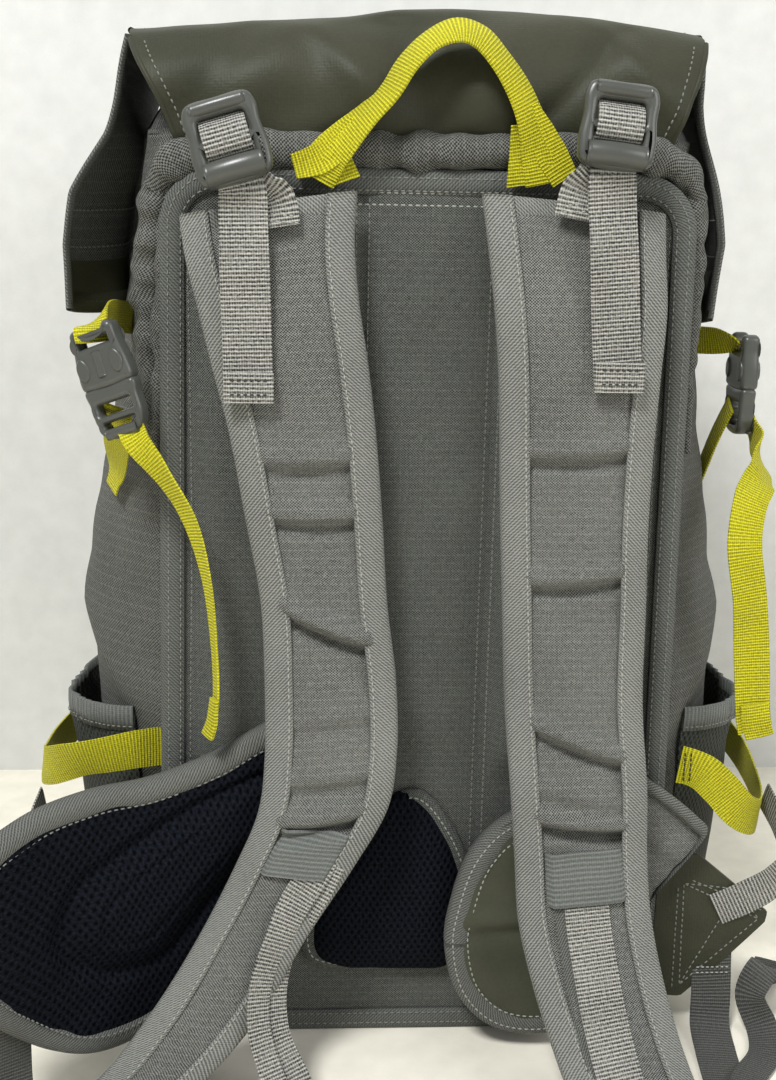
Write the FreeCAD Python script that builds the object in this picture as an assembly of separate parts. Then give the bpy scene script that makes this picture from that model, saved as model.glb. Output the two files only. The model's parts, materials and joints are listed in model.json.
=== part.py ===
import FreeCAD, Part
import math
import os

V = FreeCAD.Vector

# Hydration pack. Millimetres, +Z up, the origin at the middle of the base.
# The harness side faces -Y, the front of the bag faces +Y, and +X is to the right of someone who
# looks at the harness.

# ---------------------------------------------------------------- driving dimensions
# General clearances
SEAT = 0.4            # soft pieces that lie on each other
RUN = 0.3             # moulded pieces that slide or turn in each other

# Bag shell
BAG_HEIGHT = 474.0
BAG_WALL = 3.0
BASE_TRAY = 30.0      # height of the base panel's turned-up edge
BACK_FACE = -79.0     # outer face of the bag's rear wall
SIDE_LINE = -25.0     # depth at which the sides are widest
FRONT_SPLIT = 40.0    # seam between the side panels and the front panel
CORNER_BACK = 5.0
CORNER_SIDE = 45.0
CORNER_FRONT = 52.0
BACK_HALF_LOW = 132.0
BACK_HALF_TOP = 123.0
BASE_HALF = 141.0
BASE_FRONT = 78.0
HIP_Z = 35.0
HIP_HALF = 162.0
HIP_FRONT = 92.0
POCKET_Z = 176.0
POCKET_HALF = 173.0
POCKET_FRONT = 98.0
BELLY_Z = 226.0
BELLY_HALF = 178.0
BELLY_FRONT = 99.0
WAIST_Z = 330.0
WAIST_HALF = 162.0
WAIST_FRONT = 97.0
CHEST_Z = 400.0
CHEST_HALF = 157.0
CHEST_FRONT = 92.0
MOUTH_HALF = 139.0
MOUTH_FRONT = 80.0

# Collar under the lid
COLLAR_HEIGHT = 32.0
COLLAR_WALL = 2.0
COLLAR_TAPER = 20.0

# Back panel
PANEL_FACE = -85.0
SHEET_THICK = 1.2
SHEET_MARGIN = 14.0
PANEL_BOTTOM = 2.0
PANEL_TOP = 456.0
PANEL_HALF_LOW = 134.0
PANEL_HALF_TOP = 126.0
PANEL_RADIUS = 26.0
BINDING_WIDTH = 10.0
BINDING_PROUD = 2.0
PAD_THICK = 8.0
PAD_TOP = 424.0
PAD_BOTTOM = 150.0
PAD_INNER = 38.0
PAD_OUTER = 116.0
PAD_RADIUS = 24.0
LUMBAR_THICK = 12.0
LUMBAR_TOP = 142.0
LUMBAR_BOTTOM = 40.0
LUMBAR_LEFT = -54.0
LUMBAR_RIGHT = 24.0
LUMBAR_RADIUS = 13.0
STAY_WIDTH = 20.0
STAY_THICK = 3.0
STAY_BOTTOM = 60.0
STAY_TOP = 388.0

# Reservoir and its sleeve
SLEEVE_HALF = 104.0
SLEEVE_DEPTH = 40.0
SLEEVE_BOTTOM = 50.0
SLEEVE_TOP = 290.0
SLEEVE_WALL = 1.5
RESERVOIR_HALF = 82.0
RESERVOIR_THICK = 24.0
RESERVOIR_TOP = 392.0
RESERVOIR_RADIUS = 9.0
PORT_Z = 340.0
PORT_RADIUS = 27.0
PORT_NECK = 5.0
CAP_WALL = 3.0
CAP_HEIGHT = 12.0
CAP_GRIPS = 12
CAP_GRIP_RADIUS = 2.5
OUTLET_Z = 84.0
OUTLET_RADIUS = 13.0
OUTLET_THICK = 3.0
BARB_RADIUS = 3.2
BARB_LENGTH = 22.0
HANGER_WIDTH = 20.0
HANGER_DROP = 34.0

# Lid
LID_LEFT = -142.0
LID_RIGHT = 130.0
LID_SEAM_LEFT = -118.0
LID_SEAM_RIGHT = 111.0
LID_SEAM_Z = 468.0
LID_FOLD_Y = -63.5
LID_FOLD_Z = 527.5
LID_CROWN = 4.0
LID_FRONT_Y = 97.0
LID_FRONT_Z = 513.0
LID_THICK = 2.6
LID_HINGE_GAP = 2.0
SKIRT_THICK = 2.2
SKIRT_BOTTOM = 390.0
SKIRT_FLARE_LEFT = 31.0
SKIRT_FLARE_RIGHT = 34.0
FRONT_SKIRT_BOTTOM = 428.0
FRONT_SKIRT_HALF = 118.0
TAPE_THICK = 1.5
TAPE_HALF = 45.0
TAPE_LOW = 432.0
TAPE_HIGH = 457.0

# Front pocket
FPOCKET_HALF = 98.0
FPOCKET_BOTTOM = 60.0
FPOCKET_TOP = 330.0
FPOCKET_THICK = 12.0
ZIP_HALF = 84.0
ZIP_Z = 300.0
ZIP_TAPE = 22.0
ZIP_THICK = 1.6
SLIDER_LENGTH = 9.0
SLIDER_HEIGHT = 8.0
SLIDER_THICK = 3.0
PULL_LENGTH = 24.0
PULL_WIDTH = 6.0
PULL_THICK = 1.5

# Side pockets
SPOCKET_PROUD = 15.0
SPOCKET_WALL = 1.6
SPOCKET_BACK = -60.0
SPOCKET_FRONT = 38.0
SPOCKET_BOTTOM = 14.0
SPOCKET_TOP = 178.0

# Webbing
WIDE_WEB = 25.0
SLIM_WEB = 20.0
WEB_THICK = 1.6

# Shoulder straps
STRAP_THICK = 12.0
STRAP_TOP = 452.0
STRAP_SETBACK = 8.6   # from the back panel's face to the middle of the strap's top seam
KEEPER_THICK = 1.4
LIFTER_GAP = 2.4      # air between the strap and the lifter's free end

# Ladder locks
LOCK_WIDTH = 33.0
LOCK_HEIGHT = 37.0
LOCK_THICK = 7.0
LOCK_BAR = 5.0
LOCK_FACE = -119.5    # front face of the upper locks

# Grab handle
HANDLE_WIDTH = 16.0
HANDLE_THICK = 3.0
HANDLE_SEAM_Z = 456.5
HANDLE_LEFT = -64.0
HANDLE_RIGHT = 55.0
HANDLE_TOP = 514.0

# Side release buckles
BUCKLE_WIDTH = 28.0
BUCKLE_THICK = 10.0
SOCKET_LENGTH = 27.0
SOCKET_WALL = 2.3
SOCKET_BAR = 3.6
SLOT_HEIGHT = 3.6
PLUG_LENGTH = 25.0
PRONG_LENGTH = 17.0
PRONG_WIDTH = 3.4

# Hip belt
FIN_THICK = 9.0
FIN_HINGE_X = -120.0
FIN_HINGE_GAP = 0.8
RIGHT_FIN_BACK = -98.0
WING_THICK = 3.0
BELT_TURN = 5.0       # heading of the left belt end, away from straight ahead


# ---------------------------------------------------------------- shared construction
def in_front(depth):
    """Places (x, z) outlines in the vertical plane at that depth."""
    return lambda u, v: V(u, depth, v)


def in_side(x):
    """Places (y, z) outlines in the vertical plane at that x."""
    return lambda u, v: V(x, u, v)


def in_plan(z):
    """Places (x, y) outlines in the level plane at that height."""
    return lambda u, v: V(u, v, z)


def rounded_wire(corners, radii, place):
    """Closed outline of straight runs joined by tangent arcs."""
    edges = []
    joints = []
    count = len(corners)
    for i in range(count):
        corner = V(*corners[i], 0)
        before = (V(*corners[i - 1], 0) - corner).normalize()
        after = (V(*corners[(i + 1) % count], 0) - corner).normalize()
        half = before.getAngle(after) / 2
        reach = radii[i] / math.tan(half)
        middle = (before + after).normalize() * (radii[i] / math.sin(half) - radii[i])
        joints.append((corner + before * reach, corner + middle, corner + after * reach))
    for i in range(count):
        start, middle, end = [place(p.x, p.y) for p in joints[i]]
        following = place(joints[(i + 1) % count][0].x, joints[(i + 1) % count][0].y)
        edges.append(Part.Arc(start, middle, end).toShape())
        edges.append(Part.LineSegment(end, following).toShape())
    return Part.Wire(edges)


def smooth_wire(points, place):
    """Closed smooth outline through a few points."""
    curve = Part.BSplineCurve()
    curve.interpolate(Points=[place(u, v) for u, v in points], PeriodicFlag=True)
    return Part.Wire([curve.toShape()])


def prism(wire, direction):
    return Part.Face(wire).extrude(direction)


def block(x0, x1, y0, y1, z0, z1):
    return Part.makeBox(x1 - x0, y1 - y0, z1 - z0, V(x0, y0, z0))


def side_points(path, distance, samples=20):
    """Points beside a smooth open path, at a distance to its left."""
    curve = Part.BSplineCurve()
    curve.interpolate([V(u, v, 0) for u, v in path])
    found = []
    for i in range(samples + 1):
        at = curve.FirstParameter + (curve.LastParameter - curve.FirstParameter) * i / samples
        along = curve.tangent(at)[0]
        point = curve.value(at) + V(-along.y, along.x, 0) * distance
        found.append((point.x, point.y))
    return found


def ribbon(path, thickness, place, width, offset=0.0):
    """A band of even thickness along a smooth open path, extruded across its plane."""
    sides = []
    for distance in (offset + thickness / 2, offset - thickness / 2):
        curve = Part.BSplineCurve()
        curve.interpolate([place(u, v) for u, v in side_points(path, distance)])
        sides.append(curve)
    ends = []
    for which in ("StartPoint", "EndPoint"):
        ends.append(Part.LineSegment(getattr(sides[0], which), getattr(sides[1], which)).toShape())
    edges = [sides[0].toShape(), ends[1], sides[1].toShape(), ends[0]]
    wire = Part.Wire(Part.__sortEdges__(edges))
    return prism(wire, width)


def webbing(stations, width, thickness=WEB_THICK):
    """Flat webbing through stations of (middle point, direction across its width)."""
    wires = []
    count = len(stations)
    for i, (middle, across) in enumerate(stations):
        before = stations[max(i - 1, 0)][0]
        after = stations[min(i + 1, count - 1)][0]
        along = (V(*after) - V(*before)).normalize()
        side = V(*across)
        side = (side - along * side.dot(along)).normalize()
        face = along.cross(side)
        centre = V(*middle)
        corners = []
        for s, f in ((-1, -1), (1, -1), (1, 1), (-1, 1)):
            corners.append(centre + side * (s * width / 2) + face * (f * thickness / 2))
        wires.append(Part.makePolygon(corners + corners[:1]))
    return Part.makeLoft(wires, True, True)


def mirrored(stations):
    """The same stations on the other side of the pack."""
    return [((-m[0], m[1], m[2]), (-a[0], a[1], a[2])) for m, a in stations]


def save(name, *shapes):
    solids = []
    for shape in shapes:
        solids.extend(shape.Solids)
    result = solids[0] if len(solids) == 1 else Part.makeCompound(solids)
    result.exportStep(f"parts/{name}.step")
    print(f"{name}: {len(solids)} solid(s), volume {result.Volume:.0f} mm3, valid {result.isValid()}")


# ---------------------------------------------------------------- bag shell
STATIONS = (
    (0.0, BASE_HALF, BASE_FRONT),
    (HIP_Z, HIP_HALF, HIP_FRONT),
    (POCKET_Z, POCKET_HALF, POCKET_FRONT),
    (BELLY_Z, BELLY_HALF, BELLY_FRONT),
    (WAIST_Z, WAIST_HALF, WAIST_FRONT),
    (CHEST_Z, CHEST_HALF, CHEST_FRONT),
    (BAG_HEIGHT, MOUTH_HALF, MOUTH_FRONT),
)


def bag_at(z):
    """Half width and front depth of the bag at a height."""
    for low, high in zip(STATIONS, STATIONS[1:]):
        if z <= high[0] or high is STATIONS[-1]:
            share = (z - low[0]) / (high[0] - low[0])
            return tuple(low[i] + (high[i] - low[i]) * share for i in (1, 2))


def back_half_at(z):
    return BACK_HALF_LOW + (BACK_HALF_TOP - BACK_HALF_LOW) * z / BAG_HEIGHT


def bag_section(z, proud):
    """Level section of the bag at a height, grown outwards by proud."""
    half, front = bag_at(z)
    back_half = back_half_at(z)
    corners = [
        (-back_half - proud, BACK_FACE - proud),
        (-half - proud, SIDE_LINE),
        (-half - proud, front + proud),
        (half + proud, front + proud),
        (half + proud, SIDE_LINE),
        (back_half + proud, BACK_FACE - proud),
    ]
    radii = [CORNER_BACK, CORNER_SIDE, CORNER_FRONT + proud, CORNER_FRONT + proud, CORNER_SIDE, CORNER_BACK]
    return rounded_wire(corners, radii, in_plan(z))


def bag_form(proud, low, high):
    """The bag's form between two heights, grown outwards by proud."""
    heights = [low] + [s[0] for s in STATIONS if low < s[0] < high] + [high]
    return Part.makeLoft([bag_section(z, proud) for z in heights], True, True)


def side_x(z, y):
    """x of the bag's right side at a height, on the slanted face behind SIDE_LINE."""
    half, _ = bag_at(z)
    back_half = back_half_at(z)
    if y >= SIDE_LINE:
        return half
    return back_half + (half - back_half) * (y - BACK_FACE) / (SIDE_LINE - BACK_FACE)


def make_shell():
    far = 400.0
    shell = bag_form(0.0, 0.0, BAG_HEIGHT).cut(bag_form(-BAG_WALL, BAG_WALL + 1.0, BAG_HEIGHT + 1.0))
    inner_back = BACK_FACE + BAG_WALL
    save("base_panel", shell.common(block(-far, far, -far, far, -1, BASE_TRAY)))
    upper = shell.common(block(-far, far, -far, far, BASE_TRAY, far * 2))
    save("back_lining", upper.common(block(-far, far, -far, inner_back, 0, far * 2)))
    save("front_panel", upper.common(block(-far, far, FRONT_SPLIT, far, 0, far * 2)))
    middle = upper.common(block(-far, far, inner_back, FRONT_SPLIT, 0, far * 2))
    save("side_panel_left", middle.common(block(-far, 0, -far, far, 0, far * 2)))
    save("side_panel_right", middle.common(block(0, far, -far, far, 0, far * 2)))


def make_collar():
    rings = []
    for inset in (0.0, COLLAR_WALL):
        low = bag_section(BAG_HEIGHT, -inset)
        high = bag_section(BAG_HEIGHT, -inset - COLLAR_TAPER)
        high.translate(V(0, 0, COLLAR_HEIGHT))
        rings.append(Part.makeLoft([low, high], True, True))
    save("top_collar", rings[0].cut(rings[1]))


# ---------------------------------------------------------------- back panel
def panel_outline(inset, depth):
    """The back panel's outline, narrower towards the top, drawn inwards by inset."""
    corners = [
        (-PANEL_HALF_LOW + inset, PANEL_BOTTOM + inset),
        (PANEL_HALF_LOW - inset, PANEL_BOTTOM + inset),
        (PANEL_HALF_TOP - inset, PANEL_TOP - inset),
        (-PANEL_HALF_TOP + inset, PANEL_TOP - inset),
    ]
    return rounded_wire(corners, [PANEL_RADIUS - inset * 0.5] * 4, in_front(depth))


def lumbar_outline(depth):
    """Rounded triangle over the small of the back."""
    apex = (LUMBAR_LEFT + LUMBAR_RIGHT) / 2
    corners = [
        (LUMBAR_LEFT, LUMBAR_BOTTOM),
        (LUMBAR_RIGHT + 4, LUMBAR_BOTTOM),
        (LUMBAR_RIGHT, LUMBAR_TOP - 44),
        (apex + 18, LUMBAR_TOP),
        (apex - 4, LUMBAR_TOP),
        (LUMBAR_LEFT - 3, LUMBAR_BOTTOM + 42),
    ]
    return rounded_wire(corners, [LUMBAR_RADIUS] * 3 + [7.0, 7.0] + [LUMBAR_RADIUS], in_front(depth))


def make_back():
    board_back = BACK_FACE - SHEET_THICK
    deep = V(0, board_back - PANEL_FACE, 0)
    save("back_panel", prism(panel_outline(0, PANEL_FACE), deep))
    sheet = prism(panel_outline(SHEET_MARGIN, board_back), V(0, SHEET_THICK, 0))
    save("frame_sheet", sheet)
    proud = PANEL_FACE - BINDING_PROUD
    thick = V(0, BINDING_PROUD, 0)
    ring = prism(panel_outline(0, proud), thick).cut(prism(panel_outline(BINDING_WIDTH, proud), thick))
    save("back_panel_binding", ring)
    pads = []
    for side in (-1, 1):
        corners = [
            (side * PAD_INNER, PAD_BOTTOM),
            (side * PAD_OUTER, PAD_BOTTOM),
            (side * (PAD_OUTER - 6), PAD_TOP),
            (side * PAD_INNER, PAD_TOP),
        ]
        outline = rounded_wire(corners, [PAD_RADIUS] * 4, in_front(PANEL_FACE - PAD_THICK))
        pads.append(prism(outline, V(0, PAD_THICK, 0)))
    save("back_pads", *pads)
    lumbar = prism(lumbar_outline(PANEL_FACE - LUMBAR_THICK), V(0, LUMBAR_THICK, 0))
    save("lumbar_pad", lumbar)
    inner_back = BACK_FACE + BAG_WALL
    save("aluminium_stay", block(-STAY_WIDTH / 2, STAY_WIDTH / 2, inner_back, inner_back + STAY_THICK,
                                 STAY_BOTTOM, STAY_TOP))


# ---------------------------------------------------------------- reservoir
def make_reservoir():
    wall = BACK_FACE + BAG_WALL
    front = wall + SLEEVE_DEPTH
    outer = block(-SLEEVE_HALF, SLEEVE_HALF, wall, front, SLEEVE_BOTTOM, SLEEVE_TOP)
    hollow = block(-SLEEVE_HALF + SLEEVE_WALL, SLEEVE_HALF - SLEEVE_WALL, wall, front - SLEEVE_WALL,
                   SLEEVE_BOTTOM + SLEEVE_WALL, SLEEVE_TOP + 1)
    stay_gap = STAY_WIDTH / 2 + SEAT
    stay_slot = block(-stay_gap, stay_gap, wall, wall + STAY_THICK + SEAT, STAY_BOTTOM - SEAT - 20,
                      SLEEVE_TOP + 1)
    save("reservoir_sleeve", outer.cut(hollow).cut(stay_slot))
    rear = wall + STAY_THICK + SEAT
    face = rear + RESERVOIR_THICK
    seat = SLEEVE_BOTTOM + SLEEVE_WALL + SEAT
    bladder = block(-RESERVOIR_HALF, RESERVOIR_HALF, rear, face, seat, RESERVOIR_TOP)
    bladder = bladder.makeFillet(RESERVOIR_RADIUS, bladder.Edges)
    neck = Part.makeCylinder(PORT_RADIUS, PORT_NECK + 1, V(0, face - 1, PORT_Z), V(0, 1, 0))
    save("reservoir", bladder.fuse(neck).removeSplitter())
    cap_radius = PORT_RADIUS + RUN + CAP_WALL
    start = face + RUN
    cap = Part.makeCylinder(cap_radius, CAP_HEIGHT, V(0, start, PORT_Z), V(0, 1, 0))
    bore = Part.makeCylinder(PORT_RADIUS + RUN, PORT_NECK, V(0, start, PORT_Z), V(0, 1, 0))
    cap = cap.cut(bore)
    for i in range(CAP_GRIPS):
        angle = 2 * math.pi * i / CAP_GRIPS
        spot = V(cap_radius * math.cos(angle), start, PORT_Z + cap_radius * math.sin(angle))
        cap = cap.cut(Part.makeCylinder(CAP_GRIP_RADIUS, CAP_HEIGHT, spot, V(0, 1, 0)))
    save("reservoir_cap", cap)
    disc = Part.makeCylinder(OUTLET_RADIUS, OUTLET_THICK, V(0, face + SEAT / 2, OUTLET_Z), V(0, 1, 0))
    barb_y = face + SEAT / 2 + OUTLET_THICK + BARB_RADIUS - 1
    barb = Part.makeCylinder(BARB_RADIUS, BARB_LENGTH, V(0, barb_y, OUTLET_Z - BARB_RADIUS), V(0, 0, 1))
    save("hose_outlet", disc.fuse(barb).removeSplitter())
    hanger_y = wall + SEAT
    hanger = block(-HANGER_WIDTH / 2, HANGER_WIDTH / 2, hanger_y, hanger_y + WEB_THICK,
                   RESERVOIR_TOP + SEAT, RESERVOIR_TOP + SEAT + HANGER_DROP)
    save("reservoir_hanger", hanger)


# ---------------------------------------------------------------- lid
def skirt_x(z, edge, flare):
    """x of a side skirt's outer face, which flares out towards its hem."""
    outward = math.copysign(1, edge)
    return edge + outward * flare * (LID_FOLD_Z - z) / (LID_FOLD_Z - SKIRT_BOTTOM)


def front_y(z):
    return bag_at(z)[1]


def make_lid():
    top = LID_FOLD_Z - LID_HINGE_GAP
    seam_y = BACK_FACE - SEAT - LID_THICK / 2
    profile = [(seam_y - 0.2, LID_SEAM_Z), (seam_y - 0.1, LID_SEAM_Z + 9), (seam_y + 3.5, LID_SEAM_Z + 27),
               (LID_FOLD_Y - 1, top)]
    rear = ribbon(profile, LID_THICK, in_side(LID_LEFT), V(LID_RIGHT - LID_LEFT, 0, 0))
    outline = Part.makePolygon([V(LID_SEAM_LEFT, -200, LID_SEAM_Z - 5),
                                V(LID_SEAM_RIGHT, -200, LID_SEAM_Z - 5),
                                V(LID_RIGHT, -200, LID_FOLD_Z), V(LID_LEFT, -200, LID_FOLD_Z),
                                V(LID_SEAM_LEFT, -200, LID_SEAM_Z - 5)])
    save("lid_back_panel", rear.common(prism(outline, V(0, 200, 0))))

    start = LID_FOLD_Y + LID_HINGE_GAP
    middle = (start + LID_FRONT_Y) / 2
    crown = (LID_FOLD_Z + LID_FRONT_Z) / 2 + LID_CROWN
    profile = [(start, LID_FOLD_Z - LID_THICK / 2), (middle, crown), (LID_FRONT_Y, LID_FRONT_Z)]
    inset = SKIRT_THICK + SEAT
    edges = []
    for z in (SKIRT_BOTTOM, LID_FOLD_Z):
        edges.append(V(skirt_x(z, LID_LEFT, SKIRT_FLARE_LEFT) + inset, 0, z))
        edges.append(V(skirt_x(z, LID_RIGHT, SKIRT_FLARE_RIGHT) - inset, 0, z))
    between = Part.makePolygon([edges[0], edges[1], edges[3], edges[2], edges[0]])
    between.translate(V(0, LID_FOLD_Y, 0))
    cover = ribbon(profile, LID_THICK, in_side(-300), V(600, 0, 0))
    save("lid_top", cover.common(prism(between, V(0, LID_FRONT_Y - LID_FOLD_Y + 10, 0))))

    for name, edge, flare in (("left", LID_LEFT, SKIRT_FLARE_LEFT), ("right", LID_RIGHT, SKIRT_FLARE_RIGHT)):
        inward = -math.copysign(SKIRT_THICK, edge)
        low = skirt_x(SKIRT_BOTTOM, edge, flare)
        high_z = LID_FOLD_Z - LID_THICK
        high = skirt_x(high_z, edge, flare)
        section = Part.makePolygon([V(low, start, SKIRT_BOTTOM), V(low + inward, start, SKIRT_BOTTOM),
                                    V(high + inward, start, high_z), V(high, start, high_z),
                                    V(low, start, SKIRT_BOTTOM)])
        slab = prism(section, V(0, LID_FRONT_Y - start, 0))
        slope = Part.makePolygon([V(-300, start - 1, SKIRT_BOTTOM - 1),
                                  V(-300, LID_FRONT_Y + 1, SKIRT_BOTTOM - 1),
                                  V(-300, LID_FRONT_Y + 1, LID_FRONT_Z), V(-300, middle, crown),
                                  V(-300, start - 1, LID_FOLD_Z), V(-300, start - 1, SKIRT_BOTTOM - 1)])
        save(f"lid_skirt_{name}", slab.common(prism(slope, V(600, 0, 0))))

    # The front skirt hangs from the lid's front edge and ends on the hook tape.
    hook_face = front_y(TAPE_LOW) + 2 * SEAT + 2 * TAPE_THICK + 0.6
    skirt_top = LID_FRONT_Z - LID_THICK / 2 - SEAT
    slant = front_y(TAPE_LOW) - front_y(TAPE_HIGH)
    low_y = hook_face + SKIRT_THICK / 2 + SEAT + slant * (TAPE_LOW - FRONT_SKIRT_BOTTOM) / (TAPE_HIGH - TAPE_LOW)
    profile = [(low_y, FRONT_SKIRT_BOTTOM), (low_y - slant, FRONT_SKIRT_BOTTOM + TAPE_HIGH - TAPE_LOW),
               (LID_FRONT_Y - SKIRT_THICK, skirt_top)]
    save("lid_front_skirt",
         ribbon(profile, SKIRT_THICK, in_side(-FRONT_SKIRT_HALF), V(2 * FRONT_SKIRT_HALF, 0, 0)))
    for name, gap in (("lid_loop_tape", SEAT), ("lid_hook_tape", 2 * SEAT + TAPE_THICK + 0.2)):
        low = front_y(TAPE_LOW) + gap
        high = front_y(TAPE_HIGH) + gap
        section = Part.makePolygon([V(-TAPE_HALF, low, TAPE_LOW), V(-TAPE_HALF, low + TAPE_THICK, TAPE_LOW),
                                    V(-TAPE_HALF, high + TAPE_THICK, TAPE_HIGH),
                                    V(-TAPE_HALF, high, TAPE_HIGH),
                                    V(-TAPE_HALF, low, TAPE_LOW)])
        save(name, prism(section, V(2 * TAPE_HALF, 0, 0)))


# ---------------------------------------------------------------- pockets
def make_front_pocket():
    body = bag_form(FPOCKET_THICK, FPOCKET_BOTTOM,
                    FPOCKET_TOP).cut(bag_form(SEAT, FPOCKET_BOTTOM - 1, FPOCKET_TOP + 1))
    window = block(-FPOCKET_HALF, FPOCKET_HALF, 0, 400, FPOCKET_BOTTOM, FPOCKET_TOP)
    save("front_pocket", body.common(window))
    low = ZIP_Z - ZIP_TAPE / 2
    high = ZIP_Z + ZIP_TAPE / 2
    tape = bag_form(FPOCKET_THICK + SEAT + ZIP_THICK, low,
                    high).cut(bag_form(FPOCKET_THICK + SEAT, low - 1, high + 1))
    save("pocket_zip", tape.common(block(-ZIP_HALF, ZIP_HALF, 0, 400, low, high)))
    face = front_y(ZIP_Z - PULL_LENGTH) + FPOCKET_THICK + SEAT + ZIP_THICK + RUN
    start = -ZIP_HALF + 2
    slider = block(start, start + SLIDER_LENGTH, face, face + SLIDER_THICK,
                   ZIP_Z - SLIDER_HEIGHT / 2, ZIP_Z + SLIDER_HEIGHT / 2)
    middle = start + SLIDER_LENGTH / 2
    pull = block(middle - PULL_WIDTH / 2, middle + PULL_WIDTH / 2, face + SLIDER_THICK - PULL_THICK,
                 face + SLIDER_THICK, ZIP_Z - PULL_LENGTH, ZIP_Z)
    save("zip_slider", slider.fuse(pull).removeSplitter())


def make_side_pockets():
    far = 400.0
    low = SPOCKET_BOTTOM
    wall = bag_form(SPOCKET_PROUD, low, SPOCKET_TOP).cut(
        bag_form(SPOCKET_PROUD - SPOCKET_WALL, low + SPOCKET_WALL, SPOCKET_TOP + 1))
    gap = bag_form(SPOCKET_PROUD - SPOCKET_WALL / 2, low, SPOCKET_TOP)
    ends = gap.common(block(-far, far, SPOCKET_BACK, SPOCKET_BACK + SPOCKET_WALL, low, SPOCKET_TOP))
    ends = ends.fuse(gap.common(block(-far, far, SPOCKET_FRONT - SPOCKET_WALL, SPOCKET_FRONT, low,
                                      SPOCKET_TOP)))
    pocket = wall.common(block(-far, far, SPOCKET_BACK, SPOCKET_FRONT, low, SPOCKET_TOP)).fuse(ends)
    pocket = pocket.cut(bag_form(SEAT, low - 1, SPOCKET_TOP + 1))
    save("side_pocket_left", pocket.common(block(-far, 0, -far, far, 0, far)))
    save("side_pocket_right", pocket.common(block(0, far, -far, far, 0, far)))


# ---------------------------------------------------------------- shoulder straps
SEAM_Y = PANEL_FACE - STRAP_SETBACK
RIGHT_PROFILE = [(SEAM_Y, STRAP_TOP), (SEAM_Y - 5, 436), (SEAM_Y - 11, 412), (-107, 300), (-111, 215),
                 (-120, 150),
                 (-123, 110), (-130, 75), (-146, 44), (-167, 25), (-190, 13)]
LEFT_PROFILE = [(SEAM_Y, STRAP_TOP), (SEAM_Y - 5, 436), (SEAM_Y - 11, 412), (-107, 300), (-113, 215),
                (-119, 160),
                (-126, 118), (-136, 76), (-149, 42), (-166, 15)]
RIGHT_OUTLINE = [(24, 450), (34, 376), (38, 310), (40, 250), (46, 175), (53, 110), (62, 60), (73, 20),
                 (92, 4),
                 (130, 4), (143, 20), (135, 55), (125, 92), (113, 145), (108, 205), (106, 300), (108, 380),
                 (107, 450)]
LEFT_OUTLINE = [(-39, 450), (-33, 376), (-24, 294), (-19, 220), (-17, 160), (-34, 126), (-60, 88), (-80, 52),
                (-103, 26), (-125, 4), (-152, 2), (-166, 18), (-136, 50), (-110, 84), (-88, 118), (-77, 160),
                (-75, 205), (-84, 290), (-98, 358), (-112, 450)]


def strap_layer(profile, outline, thickness, offset):
    """A layer along a strap: offset is from the strap's middle towards the wearer."""
    path = ribbon(profile, thickness, in_side(-300), V(600, 0, 0), -offset)
    window = prism(smooth_wire(outline, in_front(-400)), V(0, 400, 0))
    return path.common(window)


def strap_window(corners):
    return prism(Part.makePolygon([V(x, -400, z) for x, z in corners + corners[:1]]), V(0, 400, 0))


def front_layer(profile, thickness, offset, corners):
    path = ribbon(profile, thickness, in_side(-300), V(600, 0, 0), -offset)
    return path.common(strap_window(corners))


def ladder_lock(middle, roll):
    """Three-bar webbing adjuster, face towards -Y, turned by roll about Y."""
    half_w = LOCK_WIDTH / 2
    half_h = LOCK_HEIGHT / 2
    frame = rounded_wire([(-half_w, -half_h), (half_w, -half_h), (half_w, half_h), (-half_w, half_h)],
                         [7.0] * 4, in_front(-LOCK_THICK / 2))
    body = prism(frame, V(0, LOCK_THICK, 0))
    slot = (LOCK_HEIGHT - 3 * LOCK_BAR) / 2
    inner = LOCK_WIDTH - 2 * (LOCK_BAR - 1)
    for level in (1, -1):
        centre = level * (LOCK_BAR + slot) / 2
        body = body.cut(block(-inner / 2, inner / 2, -LOCK_THICK, LOCK_THICK, centre - slot / 2,
                              centre + slot / 2))
    body.rotate(V(0, 0, 0), V(0, 1, 0), -roll)
    body.translate(V(*middle))
    return body


LOCKS = {"left": ((-94.0, LOCK_FACE + LOCK_THICK / 2, 467.0), 17.0),
         "right": ((80.0, LOCK_FACE + LOCK_THICK / 2, 477.0), -6.0)}


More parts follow.
